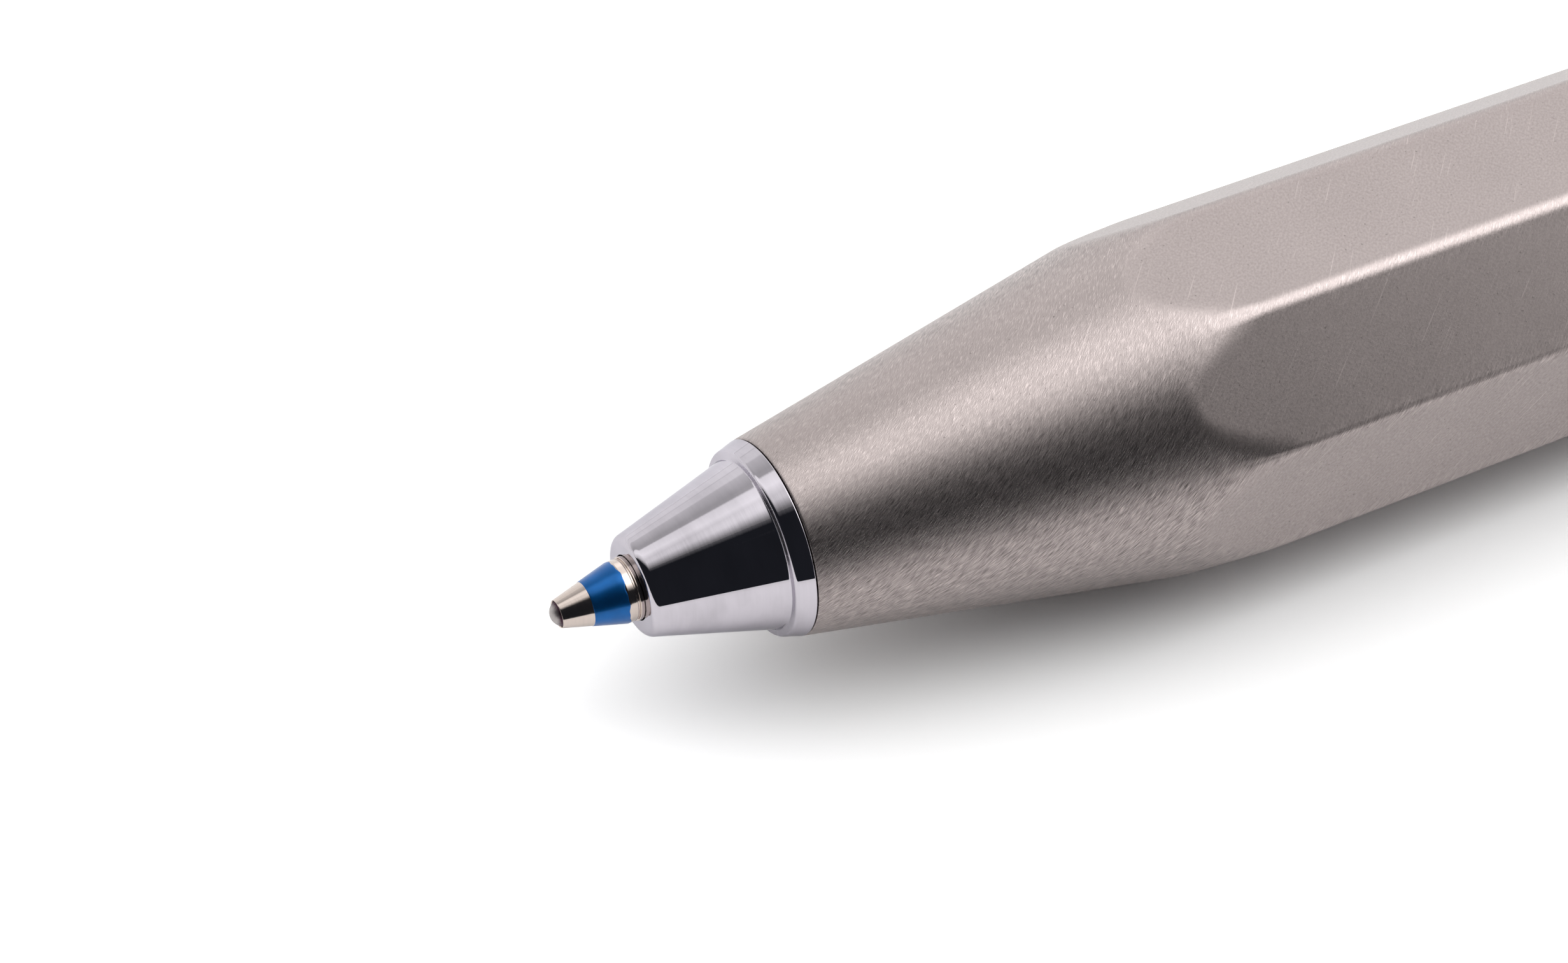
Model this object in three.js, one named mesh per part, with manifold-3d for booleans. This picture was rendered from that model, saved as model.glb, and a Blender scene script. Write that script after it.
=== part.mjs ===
// A push-button ballpoint pen with an eight-sided steel barrel, lying on one of its flats.
// Lengths are in millimetres. Stations run along the pen's axis, from the front of the ball to the button.
// It is drawn in its working state: the point is out and the rotor has turned onto the sleeve's rib ends.
import * as THREE from "three";
import { mergeVertices } from "three/addons/utils/BufferGeometryUtils.js";
import Module from "manifold-3d";

const wasm = await Module();
wasm.setup();

const { degToRad } = THREE.MathUtils;
const fullTurn = 2 * Math.PI;

// Facets: how many sides a round surface has
const wideSides = 48;
const slimSides = 32;
const arcSteps = 4;

// Clearances between pieces
const pressGap = 0.03;
const slideGap = 0.05;
const runGap = 0.15;
const seatGap = 0.1;
const endGap = 0.5;

// Strokes
const retraction = 4.8;
const overTravel = 1.0;

// Refill: the usual metal ballpoint refill, with a ball of one millimetre
const refillLength = 98.1;
const refillDiameter = 5.95;
const ballDiameter = 1.0;
const ballReveal = 0.29;
const ballClearance = 0.02;
const socketRimRadius = 0.52;
const pointDiameter = 2.33;
const pointConeAngle = degToRad(15);
const pointStubLength = 1.2;
const inkChannelRadius = 0.3;
const plainLandLength = 0.26;
const ringLength = 0.17;
const ringHeight = 0.035;
const ringGrooveWidth = 0.08;
const ringGrooveDepth = 0.05;
const neckWall = 0.255;
const flareLength = 1.0;
const shoulderMinLength = 0.8;
const tubeWall = 0.25;
const tubeStubLength = 3.0;
const plugHeadLength = 4.6;
const plugEdge = 0.35;
const plugSlotWidth = 0.9;
const plugSlotDepth = 1.3;
const inkSpace = 12;

// Return spring
const wireDiameter = 0.35;
const springLength = 7.0;
const springClearance = 0.325;
const springCurls = 8;
const stepsPerCurl = 8;
const wireSides = 5;

// Nose
const pointReveal = 3.15;
const pointClearance = 0.1;
const noseFaceRadius = 1.967;
const noseConeAngle = degToRad(14.76);
const noseConeLength = 4.756;
const noseEdgeRadius = 0.4;
const frontBoreLength = 1.85;
const springSeatDepth = 5.05;
const collarLength = 0.762;
const collarStep = 0.3;
const collarEdge = 0.07;
const sealGrooveWidth = 0.65;
const sealSection = 0.48;
const threadPitch = 0.75;
const threadTurns = 7;
const threadDepth = 0.25;
const shankChamfer = 0.12;

// Barrel
const flatCount = 8;
const edgeRadius = 0.58;
const edgeSteps = 3;
const seamGap = 0.05;
const mouthWall = 0.323;
const sealRecess = 0.3;
const frontTaperAngle = degToRad(10.93);
const rearTaperAngle = degToRad(12);
const flatWall = 1.607;
const rearWall = 1.0;
const rearChamfer = 0.25;
const guideBoreLength = 6.5;
const mainBoreStep = 0.5;

// Click mechanism
const hubRadius = 3.0;
const ribCount = 4;
const ribWidth = 1.1;
const ribHeight = 0.5;
const sleeveRibWidth = 1.8;
const ribSlant = 0.55;
const sleeveWall = 0.5;
const housingWall = 0.6;
const crownTeeth = 8;
const crownDepth = 0.6;
const rotorHubLength = 4.9;
const rotorRibInset = 0.7;
const rotorRibLength = 2.4;
const latchGap = 0.3;
const plungerHubLength = 6.0;
const plungerRibInset = 0.8;
const plungerRibLength = 3.6;
const stemRadius = 1.9;
const stemLength = 9;

// Rear end and button
const bushLength = 7.6;
const bushFlare = 0.2;
const lipThickness = 0.6;
const lipOverlap = 0.7;
const flangeThickness = 1.2;
const flangeInset = 0.35;
const flangeEdge = 0.3;
const buttonReveal = 8.65;
const buttonDomeAngle = degToRad(24);
const buttonEdge = 0.3;

// A cut runs past the face that it opens, and two joined pieces sink into each other, by this much
const overrun = 0.4;
// Points closer than this are one point
const samePlace = 1e-4;

// Radii, worked out from the inside to the outside
const ballRadius = ballDiameter / 2;
const pointRadius = pointDiameter / 2;
const refillRadius = refillDiameter / 2;
const neckRadius = pointRadius + pressGap + neckWall;
const springRadius = neckRadius + springClearance + wireDiameter / 2;
const springOuterRadius = springRadius + wireDiameter / 2;
const springBoreRadius = springOuterRadius + runGap;
const frontBoreRadius = refillRadius + runGap;
const threadRadius = frontBoreRadius - slideGap;
const threadRootRadius = threadRadius - threadDepth;
const sealGrooveRadius = threadRootRadius - slideGap;
const sealRecessRadius = frontBoreRadius + sealRecess;
const mouthRadius = sealRecessRadius + mouthWall;
const ribRadius = hubRadius + ribHeight;
const sleeveRibRadius = hubRadius + runGap;
const sleeveBoreRadius = Math.hypot(ribRadius, ribWidth / 2) + runGap;
const sleeveRadius = sleeveBoreRadius + sleeveWall;
const housingBoreRadius = sleeveRadius + slideGap;
const housingRadius = housingBoreRadius + housingWall;
const rearBoreRadius = housingRadius + slideGap;
const mainBoreRadius = rearBoreRadius - mainBoreStep;
const flatRadius = rearBoreRadius + flatWall;
const cornerRadius = flatRadius / Math.cos(Math.PI / flatCount);
const rearRadius = rearBoreRadius + rearWall;
const flangeRadius = rearRadius - flangeInset;

// Stations of the front, from the ball to the refill's shoulder
const noseSeam = pointReveal + noseConeLength + collarLength;
const barrelFront = noseSeam + seamGap;
const springSeat = pointReveal + springSeatDepth;
const neckFront = pointReveal + frontBoreLength + overTravel + endGap;
const shoulderFront = springSeat + springLength + 2 * seatGap;
const shankLength = sealGrooveWidth + threadTurns * threadPitch + shankChamfer;
const shankRear = noseSeam + shankLength;
const flareFront = Math.max(shoulderFront + shoulderMinLength, shankRear + overTravel + endGap);
const tubeFront = flareFront + flareLength;
const tubeRear = refillLength - plugHeadLength;
const guideBoreRear = tubeFront + guideBoreLength;

// Stations of the rear, from the refill's end to the button
const rotorFront = refillLength + seatGap;
const rotorRear = rotorFront + rotorHubLength;
const rotorRibFront = rotorFront + rotorRibInset;
const sleeveFront = rotorRibFront - overTravel - endGap;
const sleeveRibFront = rotorRibFront + rotorRibLength + latchGap;
const plungerFront = rotorRear + runGap;
const plungerRear = plungerFront + plungerHubLength;
const plungerRibFront = plungerFront + plungerRibInset;
const sleeveRear = plungerRibFront + plungerRibLength + retraction + endGap;
const bushFront = sleeveRear + seatGap;
const bushRear = bushFront + bushLength;
const flangeRear = bushRear + seatGap + lipThickness;
const flangeFront = flangeRear - flangeThickness;
const barrelRear = flangeFront - seamGap;
const buttonFront = plungerRear + seatGap;
const penLength = flangeRear + buttonReveal;

// Points of an arc about a centre, in [station, radius] pairs. At angle zero the arc is furthest towards
// the rear, and at a quarter turn it is furthest out.
function arc([station, radius], size, from, to, steps = arcSteps) {
  return Array.from({ length: steps + 1 }, (_, i) => {
    const angle = from + ((to - from) * i) / steps;
    return [station + size * Math.cos(angle), radius + size * Math.sin(angle)];
  });
}

// A turned solid. Its outline runs towards the rear on the outside and back along the bore, or from the
// axis to the axis where there is no bore.
function turned(outline, sides = wideSides) {
  const points = outline.map(([station, radius]) => new THREE.Vector2(radius, station));
  return new THREE.LatheGeometry(points, sides);
}

function turnedRing(outline, sides = wideSides) {
  return turned([...outline, outline[0]], sides);
}

// Joining and cutting
function solid(geometry) {
  const bare = geometry.clone();
  bare.deleteAttribute("normal");
  bare.deleteAttribute("uv");
  const merged = mergeVertices(bare, samePlace);
  const corners = merged.index.array;
  const kept = [];
  for (let i = 0; i < corners.length; i += 3) {
    const [a, b, c] = corners.slice(i, i + 3);
    if (a !== b && b !== c && c !== a) kept.push(a, b, c);
  }
  return new wasm.Manifold(
    new wasm.Mesh({
      numProp: 3,
      vertProperties: merged.attributes.position.array,
      triVerts: new Uint32Array(kept),
    }),
  );
}

function geometryOf(body) {
  const mesh = body.getMesh();
  const geometry = new THREE.BufferGeometry();
  geometry.setAttribute("position", new THREE.BufferAttribute(mesh.vertProperties, 3));
  geometry.setIndex(new THREE.BufferAttribute(mesh.triVerts, 1));
  const flat = geometry.toNonIndexed();
  flat.computeVertexNormals();
  return flat;
}

function joined(base, pieces) {
  return geometryOf(pieces.reduce((body, piece) => body.add(solid(piece)), solid(base)));
}

// Ribs along the axis, spread evenly around it. Each has slanted front or rear ends, as the rotor's and
// the sleeve's have where they meet.
function ribs(count, from, to, width, inner, outer, slants, startAngle = 0) {
  const outline = new THREE.Shape([
    new THREE.Vector2(-width / 2, from),
    new THREE.Vector2(width / 2, from + slants.front),
    new THREE.Vector2(width / 2, to),
    new THREE.Vector2(-width / 2, to - slants.rear),
  ]);
  return Array.from({ length: count }, (_, i) =>
    new THREE.ExtrudeGeometry(outline, { depth: outer - inner, bevelEnabled: false })
      .translate(0, 0, inner)
      .rotateY(startAngle + (fullTurn * i) / count),
  );
}

// Crown teeth: the rim of a flat end rises and falls evenly around the axis, so that the end is a ring of
// ridges and valleys that run in to its centre.
function crowned(geometry, station, depth) {
  const place = geometry.attributes.position;
  for (let i = 0; i < place.count; i++) {
    const [x, y, z] = [place.getX(i), place.getY(i), place.getZ(i)];
    const radius = Math.hypot(x, z);
    if (Math.abs(y - station) > samePlace || radius < samePlace) continue;
    const phase = ((Math.atan2(x, z) / fullTurn + 1) * crownTeeth) % 1;
    place.setY(i, y + depth * (1 - Math.abs(2 * phase - 1)));
  }
  return geometry;
}

// Refill
function refillBall() {
  return new THREE.SphereGeometry(ballRadius, slimSides, slimSides / 4).translate(0, ballRadius, 0);
}

// The rim is folded in over the ball, which leaves a cap of it free in front.
function refillPoint() {
  const socketRadius = ballRadius + ballClearance;
  const rimAngle = Math.PI - Math.acos((ballRadius - ballReveal) / socketRadius);
  const socketBottom = ballDiameter + ballClearance;
  const rimStation = ballRadius + socketRadius * Math.cos(rimAngle);
  const coneEnd = rimStation + (pointRadius - socketRimRadius) / Math.tan(pointConeAngle);
  const firstGroove = coneEnd + plainLandLength;
  const ringFront = firstGroove + ringGrooveWidth;
  const ringRear = ringFront + ringLength;
  const secondRear = ringRear + ringGrooveWidth;
  const grooveRadius = pointRadius - ringGrooveDepth;
  return turnedRing(
    [
      [rimStation, socketRimRadius],
      [coneEnd, pointRadius],
      [firstGroove, pointRadius],
      [firstGroove, grooveRadius],
      [ringFront, grooveRadius],
      [ringFront, pointRadius + ringHeight],
      [ringRear, pointRadius + ringHeight],
      [ringRear, grooveRadius],
      [secondRear, grooveRadius],
      [secondRear, pointRadius],
      [neckFront + pointStubLength, pointRadius],
      [neckFront + pointStubLength, inkChannelRadius],
      [socketBottom, inkChannelRadius],
      [socketBottom, socketRadius],
      ...arc([ballRadius, 0], socketRadius, Math.PI / 2, rimAngle),
    ],
    slimSides,
  );
}

function refillNeck() {
  const pocketRear = neckFront + pointStubLength + seatGap;
  const boreRadius = pointRadius - neckWall;
  const stubRadius = refillRadius - tubeWall - pressGap;
  const stubRear = tubeFront + seatGap + tubeStubLength;
  return turnedRing(
    [
      [neckFront, neckRadius],
      [shoulderFront, neckRadius],
      [shoulderFront, springOuterRadius],
      [flareFront, springOuterRadius],
      [tubeFront, refillRadius],
      [tubeFront, stubRadius],
      [stubRear, stubRadius],
      [stubRear, boreRadius],
      [pocketRear, boreRadius],
      [pocketRear, pointRadius + pressGap],
      [neckFront, pointRadius + pressGap],
    ],
    slimSides,
  );
}

function refillTube() {
  const innerRadius = refillRadius - tubeWall;
  const front = tubeFront + seatGap;
  return turnedRing(
    [
      [front, refillRadius],
      [tubeRear, refillRadius],
      [tubeRear, innerRadius],
      [front, innerRadius],
    ],
    slimSides,
  );
}

function refillInk() {
  const radius = refillRadius - tubeWall - pressGap;
  const front = tubeFront + tubeStubLength + 2 * seatGap;
  const rear = tubeRear - tubeStubLength - inkSpace;
  return turned(
    [
      [front, 0],
      [front, radius],
      [rear, radius],
      [rear, 0],
    ],
    slimSides,
  );
}

// The end plug has a cross slot, which lets air in behind the ink.
function refillEndPlug() {
  const stubRadius = refillRadius - tubeWall - pressGap;
  const stubFront = tubeRear - tubeStubLength;
  const headFront = tubeRear + seatGap;
  const body = turned(
    [
      [stubFront, 0],
      [stubFront, stubRadius],
      [headFront, stubRadius],
      [headFront, refillRadius],
      [refillLength - plugEdge, refillRadius],
      [refillLength, refillRadius - plugEdge],
      [refillLength, 0],
    ],
    slimSides,
  );
  const slotLength = refillDiameter + overrun;
  const slotHeight = plugSlotDepth + overrun;
  const slotStation = refillLength + overrun - slotHeight / 2;
  const across = new THREE.BoxGeometry(slotLength, slotHeight, plugSlotWidth).translate(0, slotStation, 0);
  const along = across.clone().rotateY(fullTurn / 4);
  return geometryOf(solid(body).subtract(solid(across)).subtract(solid(along)));
}

// Return spring: one wire wound evenly, from the seat in the nose to the refill's shoulder
function returnSpring() {
  const front = springSeat + seatGap + wireDiameter / 2;
  const rise = springLength - wireDiameter;
  const rings = springCurls * stepsPerCurl + 1;
  const ringPoint = (ring, corner) => {
    const turn = (fullTurn * ring) / stepsPerCurl;
    const around = (fullTurn * corner) / wireSides;
    const radius = springRadius + (wireDiameter / 2) * Math.cos(around);
    const station = front + (rise * ring) / (rings - 1) + (wireDiameter / 2) * Math.sin(around);
    return [radius * Math.sin(turn), station, radius * Math.cos(turn)];
  };
  const places = [];
  const faces = [];
  for (let ring = 0; ring < rings; ring++) {
    for (let corner = 0; corner < wireSides; corner++) {
      places.push(...ringPoint(ring, corner));
      if (ring === rings - 1) continue;
      const next = (corner + 1) % wireSides;
      const [a, b] = [ring * wireSides + corner, ring * wireSides + next];
      faces.push(a, a + wireSides, b, b, a + wireSides, b + wireSides);
    }
  }
  const last = (rings - 1) * wireSides;
  for (let corner = 1; corner < wireSides - 1; corner++) {
    faces.push(0, corner, corner + 1);
    faces.push(last, last + corner + 1, last + corner);
  }
  const geometry = new THREE.BufferGeometry();
  geometry.setAttribute("position", new THREE.Float32BufferAttribute(places, 3));
  geometry.setIndex(faces);
  geometry.computeVertexNormals();
  return geometry;
}

// Least distance between the surfaces of neighbouring curls, over the points of the wire's centre line
function springSelfGap() {
  const rise = springLength - wireDiameter;
  const count = springCurls * stepsPerCurl;
  const centre = (i) => {
    const turn = (fullTurn * i) / stepsPerCurl;
    const x = springRadius * Math.sin(turn);
    return new THREE.Vector3(x, (rise * i) / count, springRadius * Math.cos(turn));
  };
  let least = Infinity;
  for (let i = 0; i <= count; i++) {
    for (let j = i + stepsPerCurl / 2; j <= count; j++) {
      least = Math.min(least, centre(i).distanceTo(centre(j)));
    }
  }
  return least - wireDiameter;
}

// Nose: a rounded front edge, a cone, a step up to the collar, and the threaded shank behind it
function noseCone() {
  const slope = Math.tan(noseConeAngle);
  const stretch = Math.hypot(1, slope);
  const edgeCentre = [
    pointReveal + noseEdgeRadius,
    noseFaceRadius + noseEdgeRadius * (slope - stretch),
  ];
  const edge = arc(edgeCentre, noseEdgeRadius, Math.PI, Math.PI / 2 + noseConeAngle);
  const collarFront = pointReveal + noseConeLength;
  const coneRadius = noseFaceRadius + noseConeLength * slope;
  const collarFrontRadius = coneRadius + collarStep;
  const boreRadius = pointRadius + ringHeight + pointClearance;
  const neckBoreRadius = neckRadius + runGap;
  const threadFront = noseSeam + sealGrooveWidth;
  const ridges = Array.from({ length: threadTurns }, (_, i) => {
    const root = threadFront + i * threadPitch;
    return [
      [root, threadRootRadius],
      [root + threadPitch / 2, threadRadius],
    ];
  }).flat();
  const boreRear = pointReveal + frontBoreLength;
  return turnedRing([
    ...edge,
    [collarFront, coneRadius],
    [collarFront, collarFrontRadius - collarEdge],
    [collarFront + collarEdge, collarFrontRadius],
    [noseSeam, mouthRadius],
    [noseSeam, sealGrooveRadius],
    [threadFront, sealGrooveRadius],
    ...ridges,
    [shankRear - shankChamfer, threadRootRadius],
    [shankRear, threadRootRadius - shankChamfer],
    [shankRear, springBoreRadius],
    [springSeat, springBoreRadius],
    [springSeat, neckBoreRadius],
    [boreRear + neckBoreRadius - boreRadius, neckBoreRadius],
    [boreRear, boreRadius],
    [pointReveal, boreRadius],
  ]);
}

function noseSealRing() {
  const centre = [
    barrelFront + seatGap / 2 + sealSection / 2,
    sealGrooveRadius + pressGap + sealSection / 2,
  ];
  return turnedRing(arc(centre, sealSection / 2, fullTurn, 0, 2 * arcSteps).slice(1), slimSides);
}

// Barrel: a round bar with a long taper in front and a short one behind, milled to eight flats, so that
// each flat runs out into the tapers in a round end
function barrel() {
  const reach = cornerRadius + overrun;
  const frontTaper = (reach - mouthRadius) / Math.tan(frontTaperAngle);
  const rearTaper = (reach - rearRadius) / Math.tan(rearTaperAngle);
  const bar = turned([
    [barrelFront, 0],
    [barrelFront, mouthRadius],
    [barrelFront + frontTaper, reach],
    [barrelRear - rearTaper, reach],
    [barrelRear - rearChamfer, rearRadius + rearChamfer * Math.tan(rearTaperAngle)],
    [barrelRear, rearRadius - rearChamfer],
    [barrelRear, 0],
  ]);
  const prismLength = barrelRear - barrelFront + 2 * overrun;
  const prism = new THREE.ExtrudeGeometry(eightSided(), { depth: prismLength, bevelEnabled: false })
    .rotateX(-fullTurn / 4)
    .translate(0, barrelFront - overrun, 0);
  const recessRear = barrelFront + sealGrooveWidth;
  const boreFlare = mainBoreRadius - frontBoreRadius;
  const bore = turned([
    [barrelFront - overrun, 0],
    [barrelFront - overrun, sealRecessRadius],
    [recessRear, sealRecessRadius],
    [recessRear, frontBoreRadius],
    [guideBoreRear, frontBoreRadius],
    [guideBoreRear + boreFlare, mainBoreRadius],
    [sleeveFront - seatGap, mainBoreRadius],
    [sleeveFront - seatGap, rearBoreRadius],
    [barrelRear + overrun, rearBoreRadius],
    [barrelRear + overrun, 0],
  ]);
  return geometryOf(solid(bar).intersect(solid(prism)).subtract(solid(bore)));
}

// The barrel's section: flats joined by rounded edges, with a flat at the bottom
function eightSided() {
  const halfStep = Math.PI / flatCount;
  const centreRadius = (flatRadius - edgeRadius) / Math.cos(halfStep);
  const points = [];
  for (let corner = 0; corner < flatCount; corner++) {
    const middle = (2 * corner + 1) * halfStep;
    for (let step = 0; step <= edgeSteps; step++) {
      const angle = middle - halfStep + (2 * halfStep * step) / edgeSteps;
      const x = centreRadius * Math.cos(middle) + edgeRadius * Math.cos(angle);
      const y = centreRadius * Math.sin(middle) + edgeRadius * Math.sin(angle);
      points.push(new THREE.Vector2(x, y));
    }
  }
  return new THREE.Shape(points);
}

// Click mechanism
function guideSleeve() {
  const tube = turnedRing(
    [
      [sleeveFront, sleeveRadius],
      [sleeveRear, sleeveRadius],
      [sleeveRear, sleeveBoreRadius],
      [sleeveFront, sleeveBoreRadius],
    ],
    slimSides,
  );
  const outer = sleeveBoreRadius + sleeveWall / 2;
  const slants = { front: ribSlant, rear: 0 };
  const halfStep = Math.PI / ribCount;
  return joined(
    tube,
    ribs(ribCount, sleeveRibFront, sleeveRear, sleeveRibWidth, sleeveRibRadius, outer, slants, halfStep),
  );
}

// The rotor's rear end carries crown teeth, and its ribs end in the slant that slides on the sleeve's.
function camRotor() {
  const rimStation = rotorRear - crownDepth;
  const hub = turned(
    [
      [rotorFront, 0],
      [rotorFront, hubRadius],
      [rimStation, hubRadius],
      [rimStation, 0],
    ],
    slimSides,
  );
  const ribRear = rotorRibFront + rotorRibLength;
  const inner = hubRadius - ribHeight;
  const slants = { front: 0, rear: ribSlant };
  return joined(
    crowned(hub, rimStation, crownDepth),
    ribs(ribCount, rotorRibFront, ribRear, ribWidth, inner, ribRadius, slants),
  );
}

function thrustPlunger() {
  const rimStation = plungerFront + crownDepth;
  const stemRear = plungerRear + stemLength;
  const hub = turned(
    [
      [rimStation, 0],
      [rimStation, hubRadius],
      [plungerRear, hubRadius],
      [plungerRear, stemRadius],
      [stemRear, stemRadius],
      [stemRear, 0],
    ],
    slimSides,
  );
  const ribRear = plungerRibFront + plungerRibLength;
  const inner = hubRadius - ribHeight;
  const slants = { front: 0, rear: 0 };
  return joined(
    crowned(hub, rimStation, -crownDepth),
    ribs(ribCount, plungerRibFront, ribRear, ribWidth, inner, ribRadius, slants),
  );
}

// The housing screws into the barrel's rear bore up to its flange, and its lip keeps the bush in.
function mechanismHousing() {
  const lipRadius = housingBoreRadius - lipOverlap;
  const lipFront = flangeRear - lipThickness;
  return turnedRing([
    [sleeveFront, housingRadius],
    [flangeFront, housingRadius],
    [flangeFront, flangeRadius],
    ...arc([flangeRear - flangeEdge, flangeRadius - flangeEdge], flangeEdge, Math.PI / 2, 0),
    [flangeRear, lipRadius],
    [lipFront, lipRadius],
    [lipFront, housingBoreRadius],
    [sleeveFront, housingBoreRadius],
  ]);
}

function buttonBush() {
  const boreRadius = hubRadius + slideGap;
  return turnedRing(
    [
      [bushFront, sleeveRadius],
      [bushRear, sleeveRadius],
      [bushRear, boreRadius + bushFlare],
      [bushRear - bushFlare, boreRadius],
      [bushFront + bushFlare, boreRadius],
      [bushFront, boreRadius + bushFlare],
    ],
    slimSides,
  );
}

// The button is a cap over the plunger's stem, with a low dome at its end.
function pushButton() {
  const socketRadius = stemRadius + pressGap;
  const socketRear = plungerRear + stemLength + seatGap;
  const domeChord = hubRadius - buttonEdge * (1 - Math.sin(buttonDomeAngle));
  const domeRadius = domeChord / Math.sin(buttonDomeAngle);
  const domeCentre = penLength - domeRadius;
  const edgeStation = domeCentre + (domeRadius - buttonEdge) * Math.cos(buttonDomeAngle);
  return turned(
    [
      [socketRear, 0],
      [socketRear, socketRadius],
      [buttonFront, socketRadius],
      [buttonFront, hubRadius],
      ...arc([edgeStation, hubRadius - buttonEdge], buttonEdge, Math.PI / 2, buttonDomeAngle),
      ...arc([domeCentre, 0], domeRadius, buttonDomeAngle, 0).slice(1),
    ],
    slimSides,
  );
}

// Finishes
const finish = (color, roughness, metalness) =>
  new THREE.MeshStandardMaterial({ color, roughness, metalness });
const satinSteel = finish(0xb8aeaa, 0.42, 1);
const mirrorChrome = finish(0xd8d6de, 0.06, 1);
const nickelSilver = finish(0xcdbfae, 0.18, 1);
const carbide = finish(0x8b8788, 0.15, 1);
const springSteel = finish(0x9fa0a4, 0.3, 1);
const drawnSteel = finish(0xb9bcc0, 0.32, 1);
const brass = finish(0xc8a24e, 0.3, 1);
const blueInk = finish(0x0b4a94, 0.35, 0);
const blackRubber = finish(0x1c1c1e, 0.8, 0);
const whiteAcetal = finish(0xe9e6dc, 0.5, 0);
const greyNylon = finish(0x77797d, 0.55, 0);

function piece(name, geometry, material) {
  const mesh = new THREE.Mesh(geometry, material);
  mesh.name = name;
  return mesh;
}

const front = new THREE.Group().add(
  piece("nose_cone", noseCone(), mirrorChrome),
  piece("nose_seal_ring", noseSealRing(), blackRubber),
  piece("return_spring", returnSpring(), springSteel),
);

const refill = new THREE.Group().add(
  piece("refill_ball", refillBall(), carbide),
  piece("refill_point", refillPoint(), nickelSilver),
  piece("refill_neck", refillNeck(), drawnSteel),
  piece("refill_tube", refillTube(), drawnSteel),
  piece("refill_ink", refillInk(), blueInk),
  piece("refill_end_plug", refillEndPlug(), greyNylon),
);

const mechanism = new THREE.Group().add(
  piece("guide_sleeve", guideSleeve(), whiteAcetal),
  piece("cam_rotor", camRotor(), whiteAcetal),
  piece("thrust_plunger", thrustPlunger(), whiteAcetal),
  piece("mechanism_housing", mechanismHousing(), brass),
  piece("button_bush", buttonBush(), greyNylon),
  piece("push_button", pushButton(), mirrorChrome),
);

// The pen lies along X with its point towards minus X, resting on a flat, and its middle is at the origin.
const pen = new THREE.Group().add(piece("barrel", barrel(), satinSteel), front, refill, mechanism);
pen.rotation.z = -fullTurn / 4;
pen.position.set(-penLength / 2, 0, flatRadius);

console.log(`least gap between the spring's curls: ${springSelfGap().toFixed(3)} mm`);

const ballpointPen = new THREE.Group().add(pen);
export default ballpointPen;
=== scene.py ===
# %% [markdown]
# # A steel ballpoint pen
# The pen lies on one of its eight flats, with its point out. The CAD solids give the exact places and
# sizes. Here the surfaces that the eye meets are made again, finer, with rounded edges and with finishes
# drawn by nodes, and the pen is lit and photographed. The frame is loaded first, because every piece
# below takes its place from it.

import bmesh
import bpy
import numpy as np
from mathutils import Matrix, Vector


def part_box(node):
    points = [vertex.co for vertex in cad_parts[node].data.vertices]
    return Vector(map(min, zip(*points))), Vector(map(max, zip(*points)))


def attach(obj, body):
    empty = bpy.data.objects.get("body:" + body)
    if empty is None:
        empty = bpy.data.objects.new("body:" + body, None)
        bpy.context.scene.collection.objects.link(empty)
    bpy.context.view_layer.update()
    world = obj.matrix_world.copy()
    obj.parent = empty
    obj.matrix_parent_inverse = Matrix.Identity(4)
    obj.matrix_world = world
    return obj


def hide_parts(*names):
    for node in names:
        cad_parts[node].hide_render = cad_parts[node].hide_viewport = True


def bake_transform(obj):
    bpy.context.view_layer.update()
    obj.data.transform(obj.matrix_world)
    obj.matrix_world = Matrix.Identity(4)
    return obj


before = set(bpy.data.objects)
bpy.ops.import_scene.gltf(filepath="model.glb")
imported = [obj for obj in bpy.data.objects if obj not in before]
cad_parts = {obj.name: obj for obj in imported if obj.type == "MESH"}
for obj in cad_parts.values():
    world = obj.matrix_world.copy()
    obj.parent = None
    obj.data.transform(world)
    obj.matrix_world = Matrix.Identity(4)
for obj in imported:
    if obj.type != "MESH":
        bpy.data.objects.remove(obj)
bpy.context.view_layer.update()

# %% [markdown]
# Nearly every piece of a pen is turned on one axis. So a place on it is a station, its distance in
# millimetres behind the front of the ball, with a radius and an angle. The two numbers that tie stations
# to the frame are read from the frame's own boxes.

# %% Stations, radii and angles
MM = 0.001
TIP_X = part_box("refill_ball")[0].x
AXIS_Z = (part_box("barrel")[0].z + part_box("barrel")[1].z) / 2


def span(node):
    """First and last station of a CAD node, in millimetres."""
    low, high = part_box(node)
    return (low.x - TIP_X) / MM, (high.x - TIP_X) / MM


def around(count):
    """Angles, evenly spread over one turn. They count from the top towards the camera's side."""
    return np.arange(count) * 2 * np.pi / count


print("axis height", round(AXIS_Z / MM, 3), "barrel from", np.round(span("barrel"), 3))

# %% [markdown]
# A turned surface is a grid: each row is a ring, and each column runs along the pen. The formula is
# x = station, y = -radius sin(angle), z = axis + radius cos(angle). Rows that run rearwards on the outside
# and forwards in the bore make the faces point outwards. A profile that starts and ends on the axis closes
# in poles, whose doubled points are merged. Spinning an edge with a Screw modifier would do as well, but a
# grid also allows a radius that changes with the angle, which the flats and the thread need.


# %% Turn a grid of stations and radii into a mesh
TINY, SAME_PLACE = 1e-9, 1e-8
SHARP_EDGE = np.radians(32)


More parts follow.
